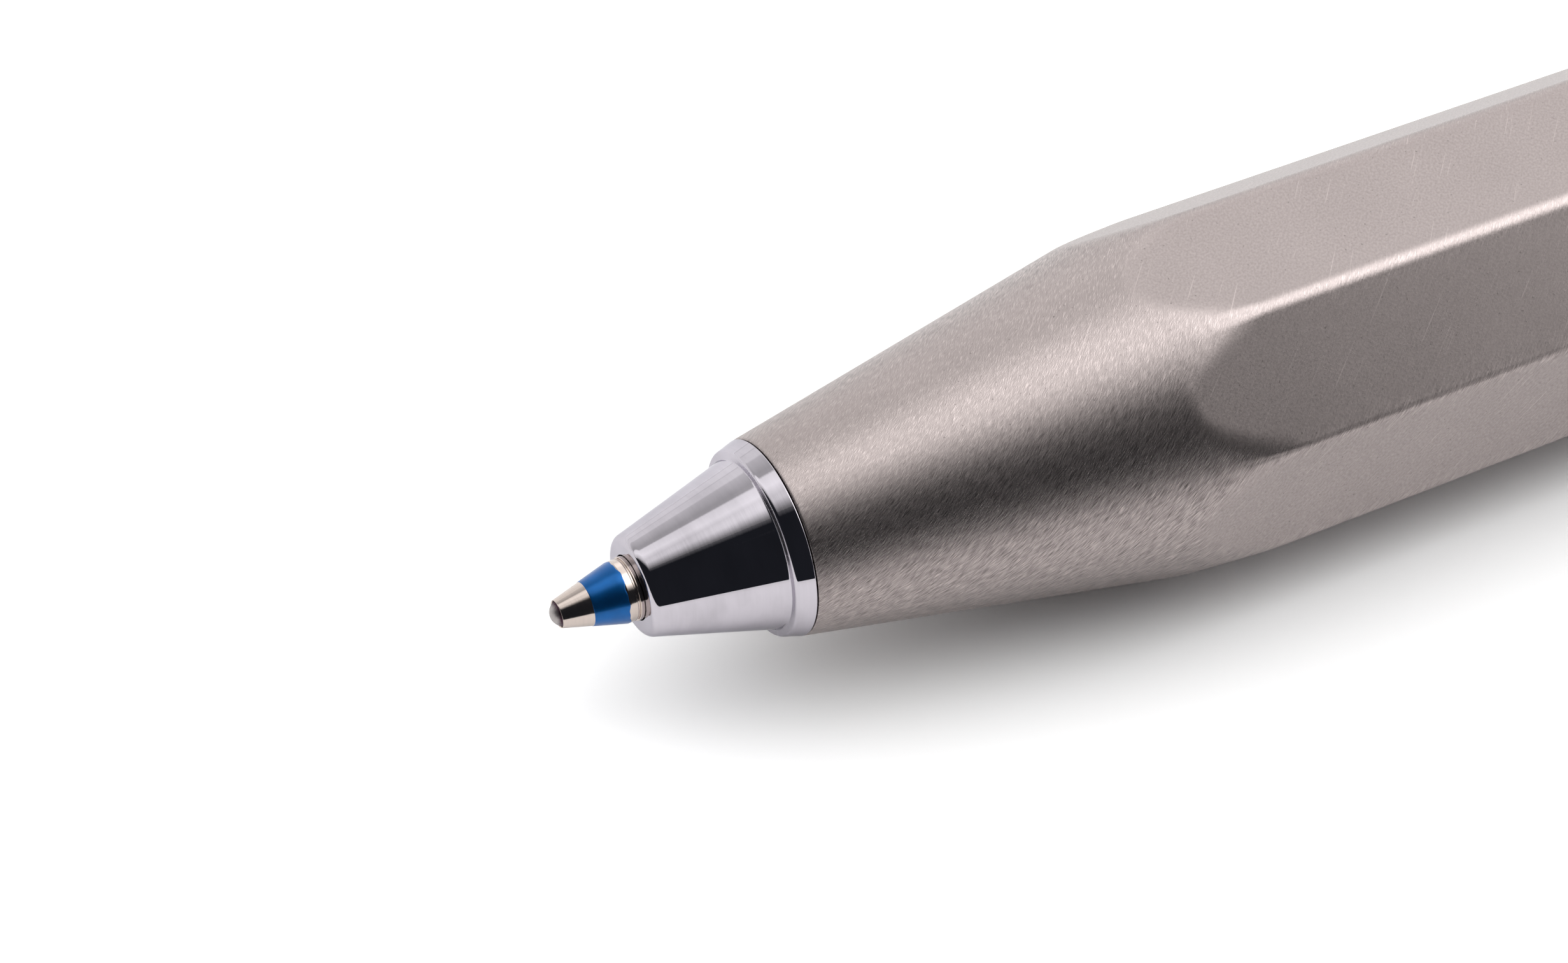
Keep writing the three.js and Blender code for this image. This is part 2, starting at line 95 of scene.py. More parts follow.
def turned_piece(name, stations, radii, angles, uv=None):
    """Point (i, j) lies at station[i, j] and radius[i, j] from the axis, at angle[j]. A ring profile, which
    does not touch the axis, is joined from its last row to its first."""
    stations, radii = np.asarray(stations, float), np.asarray(radii, float)
    stations = stations[:, None] if stations.ndim == 1 else stations
    radii = radii[:, None] if radii.ndim == 1 else radii
    stations, radii, turn = np.broadcast_arrays(stations, radii, angles)
    points = np.stack(
        [TIP_X + stations * MM, -radii * MM * np.sin(turn), AXIS_Z + radii * MM * np.cos(turn)], axis=-1
    )
    rows, columns = turn.shape
    solid_ends = radii[0].max() < TINY and radii[-1].max() < TINY
    first = np.arange(rows - 1 if solid_ends else rows)
    row, column = np.meshgrid(first, np.arange(columns), indexing="ij")
    below, beside = (row + 1) % rows, (column + 1) % columns
    corners = [(row, column), (row, beside), (below, beside), (below, column)]
    faces = np.stack([r * columns + c for r, c in corners], axis=-1).reshape(-1, 4)
    mesh = bpy.data.meshes.new(name)
    mesh.from_pydata(points.reshape(-1, 3).tolist(), [], faces.tolist())
    if uv is not None:
        u, v = uv
        wide = [(row, column), (row, column + 1), (below, column + 1), (below, column)]
        places = np.stack([np.stack([u[r], v[c]], axis=-1) for r, c in wide], axis=2)
        mesh.uv_layers.new(name="surface_mm").data.foreach_set("uv", places.ravel())
    if solid_ends:
        merge_poles(mesh)
    mesh.shade_smooth()
    mesh.set_sharp_from_angle(angle=SHARP_EDGE)
    piece = bpy.data.objects.new(name, mesh)
    bpy.context.scene.collection.objects.link(piece)
    print(f"{name}: {rows} rings of {columns}, {len(mesh.polygons)} faces")
    return piece


def merge_poles(mesh):
    """The points of a ring of no radius fall together and become one."""
    work = bmesh.new()
    work.from_mesh(mesh)
    bmesh.ops.remove_doubles(work, verts=work.verts, dist=SAME_PLACE)
    work.to_mesh(mesh)
    work.free()


# %% [markdown]
# No edge on a real pen is perfectly sharp: the tool and the polishing wheel leave a small radius, and that
# radius is what catches the light as a thin bright line. A Bevel modifier could add it, but on a profile it
# is simpler to round the corners first and to turn the rounded line.


# %% Round the corners of a profile
GUARD = 0.02


def rounded(corners, steps=7, closed=True):
    """Corners are (station, radius, rounding) in millimetres. Each corner becomes an arc that touches both
    sides. Two more points per side, a little way from its ends, keep the shading of a straight side even."""
    corners = [np.array(c, float) for c in corners]
    count, line = len(corners), []
    for i, corner in enumerate(corners):
        place, size = corner[:2], corner[2]
        if size <= 0 or (not closed and i in (0, count - 1)):
            line.append(place[None])
            continue
        back = corners[i - 1][:2] - place
        ahead = corners[(i + 1) % count][:2] - place
        back, ahead = back / np.hypot(*back), ahead / np.hypot(*ahead)
        half = np.arccos(np.clip(back @ ahead, -1, 1)) / 2
        middle = (back + ahead) / np.hypot(*(back + ahead))
        centre = place + middle * size / np.sin(half)
        start, end = place + back * size / np.tan(half), place + ahead * size / np.tan(half)
        share = np.linspace(0, 1, steps)[:, None]
        sweep = np.pi - 2 * half
        arc = (start - centre) * np.sin((1 - share) * sweep) + (end - centre) * np.sin(share * sweep)
        line.append(centre + arc / np.sin(sweep))
    line = np.concatenate(line)
    ahead = np.roll(line, -1, axis=0) - line
    length = np.hypot(*ahead.T)[:, None]
    unit = ahead / np.maximum(length, TINY)
    long_side = length[:, 0] > 6 * GUARD
    long_side[-1] &= closed
    guarded = np.stack([line, line + unit * GUARD, line + unit * (length - GUARD)], axis=1)
    return guarded[np.stack([np.ones_like(long_side), long_side, long_side], axis=1)]


# %% [markdown]
# ## The barrel
# The real barrel is a round bar of stainless steel, turned to a long cone in front and a short one behind,
# and then milled to eight flats. A milled flat runs out into the cone in a round end, like the facets of a
# sharpened pencil. Cutting one solid with another would give this with a hard crease. The satin finish
# wears that crease soft, so the barrel is one function here: at every station and angle its radius is the
# soft minimum of three radii, the eight-sided bar's and the two cones'. Polishing also wore the corners
# beside the top flat rounder than the others, so each corner has a rounding of its own.

# %% Angles round the barrel
FLATS = 8
FLAT_RADIUS = 6.5
HALF_STEP = np.pi / FLATS
ROUNDINGS = np.array([0.85, 0.5, 0.5, 0.5, 0.5, 0.5, 0.5, 0.85])
BESIDE_CORNER = 0.008


def barrel_angles(on_flat=17, on_corner=12):
    """Points at even steps on each flat, and on each rounded corner at even steps of its own arc, so that
    the shading turns evenly. Corner k lies between flat k and flat k + 1, and flat 0 is on top."""
    swing = np.linspace(-HALF_STEP, HALF_STEP, on_corner + 1)
    centres = (FLAT_RADIUS - ROUNDINGS) / np.cos(HALF_STEP)
    across, out = np.outer(ROUNDINGS, np.sin(swing)), np.outer(ROUNDINGS, np.cos(swing))
    arcs = (2 * np.arange(FLATS)[:, None] + 1) * HALF_STEP + np.arctan2(across, centres[:, None] + out)
    starts, ends = np.roll(arcs[:, -1], 1), arcs[:, 0]
    starts[0] -= 2 * np.pi
    shares = np.linspace(0, 1, on_flat + 1)[1:-1]
    shares = np.concatenate([[BESIDE_CORNER], shares, [1 - BESIDE_CORNER]])
    flats = starts[:, None] + (ends - starts)[:, None] * shares
    return np.concatenate([flats, arcs], axis=1).ravel()


def eight_sided(angles):
    """Polar radius of the bar: flat radius / cos(angle from the flat's middle) on a flat, and the outer
    meeting point with the rounding circle near a corner."""
    size = ROUNDINGS[np.floor(angles / (2 * HALF_STEP)).astype(int) % FLATS]
    centre = (FLAT_RADIUS - size) / np.cos(HALF_STEP)
    from_flat = (angles + HALF_STEP) % (2 * HALF_STEP) - HALF_STEP
    from_corner = HALF_STEP - np.abs(from_flat)
    reach = size**2 - (centre * np.sin(from_corner)) ** 2
    on_corner = centre * np.cos(from_corner) + np.sqrt(np.maximum(reach, 0))
    rounding_ends = np.arctan2(size * np.sin(HALF_STEP), centre + size * np.cos(HALF_STEP))
    return np.where(from_corner < rounding_ends, on_corner, FLAT_RADIUS / np.cos(from_flat))


angles = barrel_angles()
print("columns:", len(angles), "radius from", eight_sided(angles).min(), "to", eight_sided(angles).max())

# %% [markdown]
# The soft minimum of a and b is min(a, b) - h * h * width / 4, where h falls from 1 where they are equal to
# 0 where they differ by the width. It only ever takes metal away. The same comparison also tells where the
# cone is and where the flats are, and it is stored as an attribute, because the cone is sanded by hand and
# keeps deeper scratches than the ground flats. The rings lie close together where the flats run out into
# the cones, and far apart on the straight flats, where nothing changes.

# %% Radius along the barrel
FRONT, REAR = span("barrel")
MOUTH_RADIUS, REAR_RADIUS = 3.748, 5.893
FRONT_SLOPE, REAR_SLOPE = np.tan(np.radians(10.76)), np.tan(np.radians(12))
CREASE_ON_FLAT, CREASE_AT_CORNER = 0.06, 0.36
SANDED_FADE, SPILL, SPILL_POWER = 0.2, 0.8, 8
LIP, LIP_DEPTH, REAR_LIP, LIP_RINGS = 0.07, 0.04, 0.2, 6
RUN_OUT, RUN_OUT_END, RUN_OUT_STEP = 21.46, 27.4, 0.06
REAR_CONE, REAR_STEP = 113.4, 0.16


def soft_minimum(a, b, width):
    """min(a, b) - h * h * width / 4, where h is 1 - |a - b| / width, and never below 0."""
    blend = np.maximum(width - np.abs(a - b), 0) / width
    return np.minimum(a, b) - blend * blend * width / 4


def barrel_outside(stations, angles):
    """Radius of the soft minimum, and the share of sanded metal, from 0 on a flat to 1 on a cone. The
    crease's width grows with the square of the way from a flat's middle to its corner, and the strokes
    spill over the corners with a high power of it."""
    bar = eight_sided(angles)[None] + 0 * stations[:, None]
    front = MOUTH_RADIUS + (stations[:, None] - FRONT) * FRONT_SLOPE
    rear = REAR_RADIUS + (REAR - stations[:, None]) * REAR_SLOPE
    cones = np.minimum(front, rear) + 0 * bar
    to_corner = np.abs((angles + HALF_STEP) % (2 * HALF_STEP) - HALF_STEP) / HALF_STEP
    crease = CREASE_ON_FLAT + (CREASE_AT_CORNER - CREASE_ON_FLAT) * to_corner**2
    on_cone = np.clip((bar - cones) / SANDED_FADE + 0.5, 0, 1)
    return soft_minimum(bar, cones, crease[None]), np.maximum(on_cone, SPILL * to_corner**SPILL_POWER)


print("mouth radius", MOUTH_RADIUS, "at station", round(FRONT, 3))

# %% Join the rings of the cones and the flats
lift = np.linspace(0, np.pi / 2, LIP_RINGS)
outside = np.concatenate([
    FRONT + LIP * (1 - np.cos(lift)),
    np.linspace(FRONT + 0.12, RUN_OUT - RUN_OUT_STEP, 30),
    np.arange(RUN_OUT, RUN_OUT_END, RUN_OUT_STEP),
    np.linspace(RUN_OUT_END + 0.4, REAR_CONE - 0.2, 36),
    np.arange(REAR_CONE, REAR - REAR_LIP - 0.02, REAR_STEP),
    REAR - REAR_LIP * (1 - np.cos(lift[::-1])),
])
shrink = np.zeros(len(outside))
shrink[:LIP_RINGS] = LIP_DEPTH * (1 - np.sin(lift))
shrink[-LIP_RINGS:] = REAR_LIP * (1 - np.sin(lift[::-1]))
radii, cone_share = barrel_outside(outside, angles)
radii = radii - shrink[:, None]
print("rings outside:", len(outside))

# %% [markdown]
# The bore is bored from both ends: a recess for the rubber ring, the thread's bore, a wider bore for the
# refill, and the widest one behind it for the click mechanism. Its rings follow the outside's, so that the
# barrel is one closed wall.

# %% Close the barrel with its bore
CLICK_BORE, REFILL_BORE, THREAD_BORE, RING_RECESS = 4.893, 4.393, 3.125, 3.425
bore = np.array([
    (REAR, CLICK_BORE + 0.1), (REAR - 0.1, CLICK_BORE), (97.3, CLICK_BORE), (97.3, REFILL_BORE),
    (24.968, REFILL_BORE), (23.7, THREAD_BORE), (FRONT + 0.65, THREAD_BORE), (FRONT + 0.65, RING_RECESS),
    (FRONT + 0.04, RING_RECESS), (FRONT, RING_RECESS + 0.04),
])
stations = np.concatenate([outside, bore[:, 0]])
all_radii = np.concatenate([radii, np.repeat(bore[:, 1:], len(angles), axis=1)])
ARC_RADIUS = 6.0
unrolled = np.append(stations, stations[0]), np.append(angles, angles[0] + 2 * np.pi) * -ARC_RADIUS
barrel = turned_piece("satin_barrel", stations, all_radii, angles, uv=unrolled)
share = np.concatenate([cone_share, np.ones((len(bore), len(angles)))])
barrel.data.attributes.new("cone_share", "FLOAT", "POINT").data.foreach_set("value", share.ravel())
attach(barrel, "barrel_assembly")
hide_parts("barrel")

# %% [markdown]
# ## The nose
# The nose is turned from brass, polished and chromed. Its front edge is well rounded, its cone ends at a
# small step that polishing has rounded at the top, and a collar carries on to the barrel's mouth. Behind the
# collar, hidden in the barrel, are the groove of the rubber ring and the thread. The thread is a real
# helix: the radius depends on how far a point lies from the groove line, station - pitch * angle / turn, so
# the ridge climbs round the shank.

# %% Profile of the nose
NOSE_FRONT, NOSE_REAR = span("nose_cone")
NOSE_SEEN = 5.518
SEAM = NOSE_FRONT + NOSE_SEEN
HOLE, STEP, RING_GROOVE = 1.24, 7.93, 2.775
PITCH, THREAD_ROOT, THREAD_TOP = 0.75, 2.825, 3.075
nose_outside = [
    (NOSE_FRONT, HOLE, 0.05), (NOSE_FRONT, 1.862, 0.34),
    (STEP - 0.024, 3.22, 0.07), (STEP + 0.02, 3.52, 0.16),
    (SEAM, MOUTH_RADIUS, 0.03), (SEAM, RING_GROOVE, 0.05), (SEAM + 0.65, RING_GROOVE, 0.0),
]
nose_inside = [
    (NOSE_REAR, 2.705, 0.03), (NOSE_REAR, 2.275, 0.05), (8.2, 2.275, 0.05), (8.2, 1.6, 0.05),
    (5.3, 1.6, 0.05), (5.0, HOLE, 0.05),
]
front_line = rounded([*nose_outside, (SEAM + 0.66, THREAD_ROOT, 0.0)], steps=17, closed=False)
bore_ends = (NOSE_REAR - 0.1, 2.805, 0.0), (NOSE_FRONT, HOLE, 0.0)
bore_line = rounded([bore_ends[0], *nose_inside, bore_ends[1]], closed=False)[1:-1]
print("nose from", round(NOSE_FRONT, 3), "to", round(NOSE_REAR, 3), "seam", round(SEAM, 3))

# %% Wind the thread and join the nose
THREAD_GAP, RUN_IN, FLANK, ROOT_SHARE = 0.7, 0.5, 1.35, 0.12
COLUMNS = 336
nose_angles = around(COLUMNS)
thread = np.arange(SEAM + THREAD_GAP, NOSE_REAR - 0.12, 0.1)
phase = (thread[:, None] / PITCH - nose_angles[None] / (2 * np.pi)) % 1
ridge = np.clip((1 - np.abs(2 * phase - 1)) * FLANK - ROOT_SHARE, 0, 1)
run_in = np.clip((thread - SEAM - THREAD_GAP) / RUN_IN, 0, 1)
run_out = np.clip((NOSE_REAR - 0.14 - thread) / RUN_IN, 0, 1)
wound = THREAD_ROOT + (THREAD_TOP - THREAD_ROOT) * ridge * (run_in * run_out)[:, None]
rings = [np.repeat(front_line[:, 1:], COLUMNS, axis=1), wound, np.repeat(bore_line[:, 1:], COLUMNS, axis=1)]
nose_stations = np.concatenate([front_line[:, 0], thread, bore_line[:, 0]])
nose = turned_piece("chrome_nose", nose_stations, np.concatenate(rings), nose_angles)
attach(nose, "nose")
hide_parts("nose_cone")

# %% [markdown]
# ## The refill's point
# The point is turned from nickel silver. Its rim is folded in over the ball, and behind its cone run a
# plain land and a small ring between two grooves. The ball is ground carbide, one millimetre thick.

# %% Turn the point and the ball
POINT_RADIUS, GROOVE_RADIUS, RING_RADIUS, INK_BORE, BALL_RADIUS = 1.165, 1.115, 1.2, 0.3, 0.5
RIM, RIM_RADIUS, CONE_END = 0.234, 0.52, 2.641
GROOVE, RING, GROOVE_2, LAND = CONE_END + np.array([0.26, 0.34, 0.51, 0.59])
point_line = rounded([
    (RIM, RIM_RADIUS, 0.015), (CONE_END, POINT_RADIUS, 0.06), (GROOVE, POINT_RADIUS, 0.02),
    (GROOVE, GROOVE_RADIUS, 0.01), (RING, GROOVE_RADIUS, 0.01), (RING, RING_RADIUS, 0.025),
    (GROOVE_2, RING_RADIUS, 0.025), (GROOVE_2, GROOVE_RADIUS, 0.01), (LAND, GROOVE_RADIUS, 0.01),
    (LAND, POINT_RADIUS, 0.02), (7.7, POINT_RADIUS, 0.03), (7.7, INK_BORE, 0.03),
    (1.02, INK_BORE, 0.02), (1.02, 0.5, 0.03), (0.5, 0.52, 0.0), (0.3, 0.485, 0.0),
])
POINT_COLUMNS = 192
point = turned_piece("refill_point_turned", point_line[:, 0], point_line[:, 1], around(POINT_COLUMNS))
latitude = np.linspace(0, np.pi, 49)
ball_line = BALL_RADIUS - BALL_RADIUS * np.cos(latitude), BALL_RADIUS * np.sin(latitude).round(12)
ball = turned_piece("writing_ball", *ball_line, around(96))
for piece, node, body, slot in (
    (point, "refill_point", "refill", "nickel_silver"), (ball, "refill_ball", "ball", "carbide"),
):
    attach(piece, body)
    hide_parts(node)
print("CAD cone starts at", np.round(span("refill_point"), 3))

# %% [markdown]
# A band of blue lacquer on the cone shows the ink's colour. It is painted on a turning part with a soft
# wheel, so its front edge is even and its rear edge wavers a little. It is a thin shell over the cone, with
# a rear edge whose station is a sum of small waves of the angle, and thickness that thins out to its edges.

# %% Lay the colour band on the cone
band_angles = around(POINT_COLUMNS)
BAND_FRONT, BAND_REAR, COAT, UNDERLAP = 1.36, 2.64, 0.012, 0.006
CONE_SLOPE = np.tan(np.radians(15))
waver = 0.03 * np.sin(3 * band_angles + 1) + 0.022 * np.sin(7 * band_angles)
waver += 0.012 * np.sin(17 * band_angles)
along = np.array([0, 0.004, 0.012, 0.03, 0.2, 0.4, 0.6, 0.8, 0.97, 0.99, 1.0])
thick = np.array([0, 0.5, 0.85, 1, 1, 1, 1, 1, 1, 0.6, 0]) * COAT
long_band = BAND_FRONT + along[:, None] * (BAND_REAR - 0.03 + waver[None] - BAND_FRONT)
cone = RIM_RADIUS + (long_band - RIM) * CONE_SLOPE
coat = cone + thick[:, None]
under = cone[::-1] - UNDERLAP
band = turned_piece(
    "blue_colour_band", np.concatenate([long_band, long_band[::-1]]), np.concatenate([coat, under]),
    band_angles,
)
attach(band, "refill")

# %% [markdown]
# ## The rear end
# The photograph does not show it, so it is the plain rear end of such a pen: the chromed collar of the
# mechanism's housing, a nylon bush, and a button with a low dome.

# %% Turn the rear pieces
COLLAR_REAR = span("mechanism_housing")[1]
BUTTON_REAR = span("push_button")[1]
housing_line = rounded([
    (97.4, 4.843, 0.05), (120.15, 4.843, 0.0), (120.15, 5.543, 0.05), (COLLAR_REAR, 5.543, 0.3),
    (COLLAR_REAR, 3.543, 0.08), (120.75, 3.543, 0.05), (120.75, 4.243, 0.0), (97.4, 4.243, 0.05),
])
bush_line = rounded([
    (113.05, 4.193, 0.1), (120.65, 4.193, 0.1), (120.65, 3.25, 0.08), (120.45, 3.05, 0.05),
    (113.25, 3.05, 0.05), (113.05, 3.25, 0.08),
])
BUTTON, BUTTON_EDGE, BUTTON_STEM, DOME_ANGLE = 3.0, 0.3, 1.93, 24
dome = np.radians(np.linspace(DOME_ANGLE, 0, 22))
dome_radius = (BUTTON - BUTTON_EDGE * (1 - np.sin(dome[0]))) / np.sin(dome[0])
dome_line = np.stack([BUTTON_REAR - dome_radius * (1 - np.cos(dome)), dome_radius * np.sin(dome)], axis=1)
edge_angle = np.linspace(np.pi / 2, dome[0], 9)[:-1]
edge_centre = BUTTON_REAR - dome_radius + (dome_radius - BUTTON_EDGE) * np.cos(dome[0])
edge_line = np.stack([
    edge_centre + BUTTON_EDGE * np.cos(edge_angle),
    BUTTON - BUTTON_EDGE + BUTTON_EDGE * np.sin(edge_angle),
], axis=1)
shaft = [
    (118.35, 0, 0), (118.35, BUTTON_STEM, 0.05), (109.35, BUTTON_STEM, 0.05), (109.35, BUTTON, 0.15),
    (127.0, BUTTON, 0),
]
button_line = np.concatenate([rounded(shaft, closed=False), edge_line, dome_line])
button_line[-1, 1] = 0
for name, line, node, body, slot in (
    ("rear_collar", housing_line, "mechanism_housing", "barrel_assembly", "plated_brass"),
    ("nylon_bush", bush_line, "button_bush", "barrel_assembly", "grey_nylon"),
    ("button_cap", button_line, "push_button", "button", "mirror_chrome"),
):
    piece = turned_piece(name, line[:, 0], line[:, 1], around(160))
    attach(piece, body)
    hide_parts(node)

# %% [markdown]
# ## Pieces inside
# They show only when the nose is off or the pen is taken apart, but they are real pieces with a real
# finish. The round ones are turned again as above. The coil spring is a round wire carried along a helix:
# point = centre line + wire radius * (outward cos(a) + sideways sin(a)). Its end coils lie close, because a
# compression spring is wound so that its ends stand flat. Its front end stands in the nose's bore and its
# rear end against the refill.

# %% Turn the refill's steel and the rubber ring
neck_line = rounded([
    (6.5, 1.45, 0.04), (15.4, 1.45, 0.03), (15.4, 2.125, 0.05), (16.2, 2.125, 0.15), (17.2, 2.975, 0.12),
    (17.2, 2.695, 0.0), (20.3, 2.695, 0.05), (20.3, 0.91, 0.05), (7.8, 0.91, 0.0), (7.8, 1.195, 0.0),
    (6.5, 1.195, 0.03),
])
tube_line = rounded([(17.3, 2.975, 0.04), (93.5, 2.975, 0.04), (93.5, 2.725, 0.02), (17.3, 2.725, 0.02)])
swing = np.linspace(2 * np.pi, 0, 25)[:-1]
RING_MIDDLE, RING_REACH, RING_CORD = np.mean(span("nose_seal_ring")), 3.045, 0.24
ring_line = np.stack([
    RING_MIDDLE + RING_CORD * np.cos(swing), RING_REACH + RING_CORD * np.sin(swing)
], axis=1)
for name, line, node, body, slot in (
    ("refill_neck_turned", neck_line, "refill_neck", "refill", "drawn_steel"),
    ("refill_tube_drawn", tube_line, "refill_tube", "refill", "drawn_steel"),
    ("seal_ring_moulded", ring_line, "nose_seal_ring", "seal_ring", "black_rubber"),
):
    piece = turned_piece(name, line[:, 0], line[:, 1], around(128))
    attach(piece, body)
    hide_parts(node)

# %% Wind the spring
WIRE, COIL, CURLS, WIRE_SIDES, CURL_STEPS = 0.175, 1.95, 8, 12, 40
CLOSE_COILS, CUT_EDGE = 2.05, np.radians(50)
spring_from, spring_to = span("return_spring")
turns = np.linspace(0, 2 * np.pi * CURLS, CURLS * CURL_STEPS + 1)
curl = turns / (2 * np.pi)
close = CLOSE_COILS * WIRE
rise = close * np.minimum(curl, 1) + close * np.maximum(curl - CURLS + 1, 0)
open_pitch = (spring_to - spring_from - 2 * WIRE - 2 * close) / (CURLS - 2)
rise = spring_from + WIRE + rise + open_pitch * np.clip(curl - 1, 0, CURLS - 2)
side = 2 * np.pi * np.arange(WIRE_SIDES) / WIRE_SIDES
reach = COIL + WIRE * np.cos(side)[None]
wire = np.stack([
    TIP_X + (rise[:, None] + WIRE * np.sin(side)[None]) * MM,
    -reach * MM * np.sin(turns)[:, None],
    AXIS_Z + reach * MM * np.cos(turns)[:, None],
], axis=-1)
ring, corner = np.meshgrid(np.arange(len(turns) - 1), np.arange(WIRE_SIDES), indexing="ij")
beside = (corner + 1) % WIRE_SIDES
quads = np.stack([
    ring * WIRE_SIDES + corner, (ring + 1) * WIRE_SIDES + corner,
    (ring + 1) * WIRE_SIDES + beside, ring * WIRE_SIDES + beside,
], axis=-1).reshape(-1, 4)
last = (len(turns) - 1) * WIRE_SIDES
ends = [list(range(WIRE_SIDES)), list(range(last + WIRE_SIDES - 1, last - 1, -1))]
spring_mesh = bpy.data.meshes.new("coil_spring")
spring_mesh.from_pydata(wire.reshape(-1, 3).tolist(), [], quads.tolist() + ends)
spring_mesh.shade_smooth()
spring_mesh.set_sharp_from_angle(angle=CUT_EDGE)
spring = bpy.data.objects.new("coil_spring", spring_mesh)
bpy.context.scene.collection.objects.link(spring)
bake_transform(spring)
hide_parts("return_spring")
print("spring from", round(spring_from, 2), "to", round(spring_to, 2), "open pitch", round(open_pitch, 3))

# %% [markdown]
# ## Finishes
# A finish starts from what the real material is. Colours are written as sRGB hex values, as a colour picker
# gives them, and one function turns them to the linear values that light works in. One more function adds a
# node with its settings and links, so that a pattern reads as a list of steps.


# %% Colours and nodes
def linear(colour):
    """sRGB hex to linear: divide by 12.92 below 0.04045, and above it ((c + 0.055) / 1.055) ** 2.4."""
    c = np.array([int(colour[i : i + 2], 16) for i in (1, 3, 5)]) / 255
    return (*np.where(c <= 0.04045, c / 12.92, ((c + 0.055) / 1.055) ** 2.4), 1.0)


def add(tree, kind, inputs=None, stops=None, **settings):
    """Adds a node. Inputs are values or other nodes' outputs, and stops are a ramp's (place, grey)."""
    node = tree.nodes.new(kind)
    for key, value in settings.items():
        setattr(node, key, value)
    for socket, value in (inputs or {}).items():
        if isinstance(value, bpy.types.NodeSocket):
            tree.links.new(value, node.inputs[socket])
        else:
            node.inputs[socket].default_value = value
    if stops:
        points = node.color_ramp.elements
        while len(points) < len(stops):
            points.new(0.5)
        for point, (place, grey) in zip(points, stops):
            point.position, point.color = place, (grey, grey, grey, 1)
    return node


def finish(name, colour, **sockets):
    """A new material with one Principled shader, whose even values sit on its own sockets."""
    material = bpy.data.materials.new(name)
    material.use_nodes = True
    shader = material.node_tree.nodes["Principled BSDF"]
    shader.inputs["Base Color"].default_value = linear(colour)
    for socket, value in sockets.items():
        shader.inputs[socket.replace("_", " ")].default_value = value
    return material, material.node_tree, shader


def wear(piece, material):
    """The piece gets this material alone."""
    piece.data.materials.clear()
    piece.data.materials.append(material)
    print(piece.name, "wears", material.name)


# %% [markdown]
# ### Satin stainless steel
# The barrel is bare stainless steel, a warm grey metal. It was sanded by hand with strokes that run at 36 to
# 56 degrees to the axis, so its cone carries short diagonal scratches that break the light into a soft band.
# The sharpest of them glint, and these glints are painted highlights: the colour is made lighter there. The
# flats were ground finer and show an even grain, with a long scratch here and there, a real mark whose
# lighter colour is a painted highlight. The scratches are noise in the piece's own map of millimetres,
# stretched along
# the stroke: the Mapping node's Texture type turns and shrinks the coordinates, so its scale is a scratch's
# length and width, and one table gives both for all seven noises. The cone's are drawn at their real size,
# 0.3 to 0.5 mm long and 0.02 to 0.03 mm wide. The flats' grain is about 0.02 mm in reality and is drawn 0.1
# mm wide, because finer grain does not show. Crossing strokes, 0.04 mm wide, make patches of lighter and
# darker colour. How far a place faces upwards, the Z of its normal, decides how strong they are: they grow
# on the sides that face away from the top, as painted light that stands in for the glints breaking up the
# dark reflections there.

# %% Satin steel: seven noises along the strokes
STEEL_GREY = "#a39997"
steel, tree, shader = finish("satin_stainless_steel", STEEL_GREY, Metallic=1.0, Roughness=0.33)
surface = add(tree, "ShaderNodeUVMap", uv_map="surface_mm").outputs[0]
cone_share = add(tree, "ShaderNodeAttribute", attribute_name="cone_share").outputs["Fac"]
noises = {}
for name, turn, length, width, seed, detail in (
    ("stroke", 36, 0.38, 0.023, 0.0, 1.5), ("short stroke", 46, 0.28, 0.02, 31.0, 1.5),
    ("long stroke", 56, 0.48, 0.026, 57.0, 1.5), ("fine grain", 42, 0.11, 0.08, 0.0, 2.0),
    ("long scratch", 44, 3.2, 0.05, 0.0, 0.0), ("rubbed", 37, 0.55, 0.042, 11.0, 3.0),
    ("rubbed across", 53, 0.55, 0.042, 83.0, 3.0),
):
    place = add(
        tree, "ShaderNodeMapping",
        {"Vector": surface, "Rotation": (0, 0, np.radians(turn)), "Scale": (length, width, 1),
         "Location": (seed, seed, 0)},
        vector_type="TEXTURE",
    ).outputs[0]
    noises[name] = add(
        tree, "ShaderNodeTexNoise", {"Vector": place, "Scale": 1.0, "Detail": detail}, noise_dimensions="2D"
    ).outputs["Fac"]
print("noises along the strokes:", ", ".join(noises))

# %% Sanded cone, ground flats, long scratches, pits and painted glints
two = add(
    tree, "ShaderNodeMath", {0: noises["stroke"], 1: noises["short stroke"]}, operation="ADD"
).outputs[0]
three = add(tree, "ShaderNodeMath", {0: two, 1: noises["long stroke"]}, operation="ADD").outputs[0]
sanding = add(tree, "ShaderNodeMapRange", {"Value": three, "From Min": 1.1, "From Max": 1.9}).outputs[0]
fine = add(
    tree, "ShaderNodeMapRange", {"Value": noises["fine grain"], "From Min": 0.25, "From Max": 0.75}
).outputs[0]
grain = add(
    tree, "ShaderNodeMix", {"Factor": cone_share, 2: fine, 3: sanding}, data_type="FLOAT"
).outputs[0]
scratches = add(
    tree, "ShaderNodeMapRange", {"Value": noises["long scratch"], "From Min": 0.82, "From Max": 0.9}
).outputs[0]
# Painted glints: the colour is made lighter where the cone's sanding noise peaks, as if its sharpest
# scratches caught the light.
painted_glints = add(tree, "ShaderNodeMapRange", {"Value": sanding, "From Min": 0.78, "From Max": 0.95}).outputs[0]
painted_glints = add(tree, "ShaderNodeMath", {0: painted_glints, 1: cone_share}, operation="MULTIPLY").outputs[0]
spots = add(
    tree, "ShaderNodeTexNoise", {"Vector": surface, "Scale": 7.0, "Detail": 1.0}, noise_dimensions="2D"
).outputs["Fac"]
pits = add(tree, "ShaderNodeMapRange", {"Value": spots, "From Min": 0.76, "From Max": 0.84}).outputs[0]

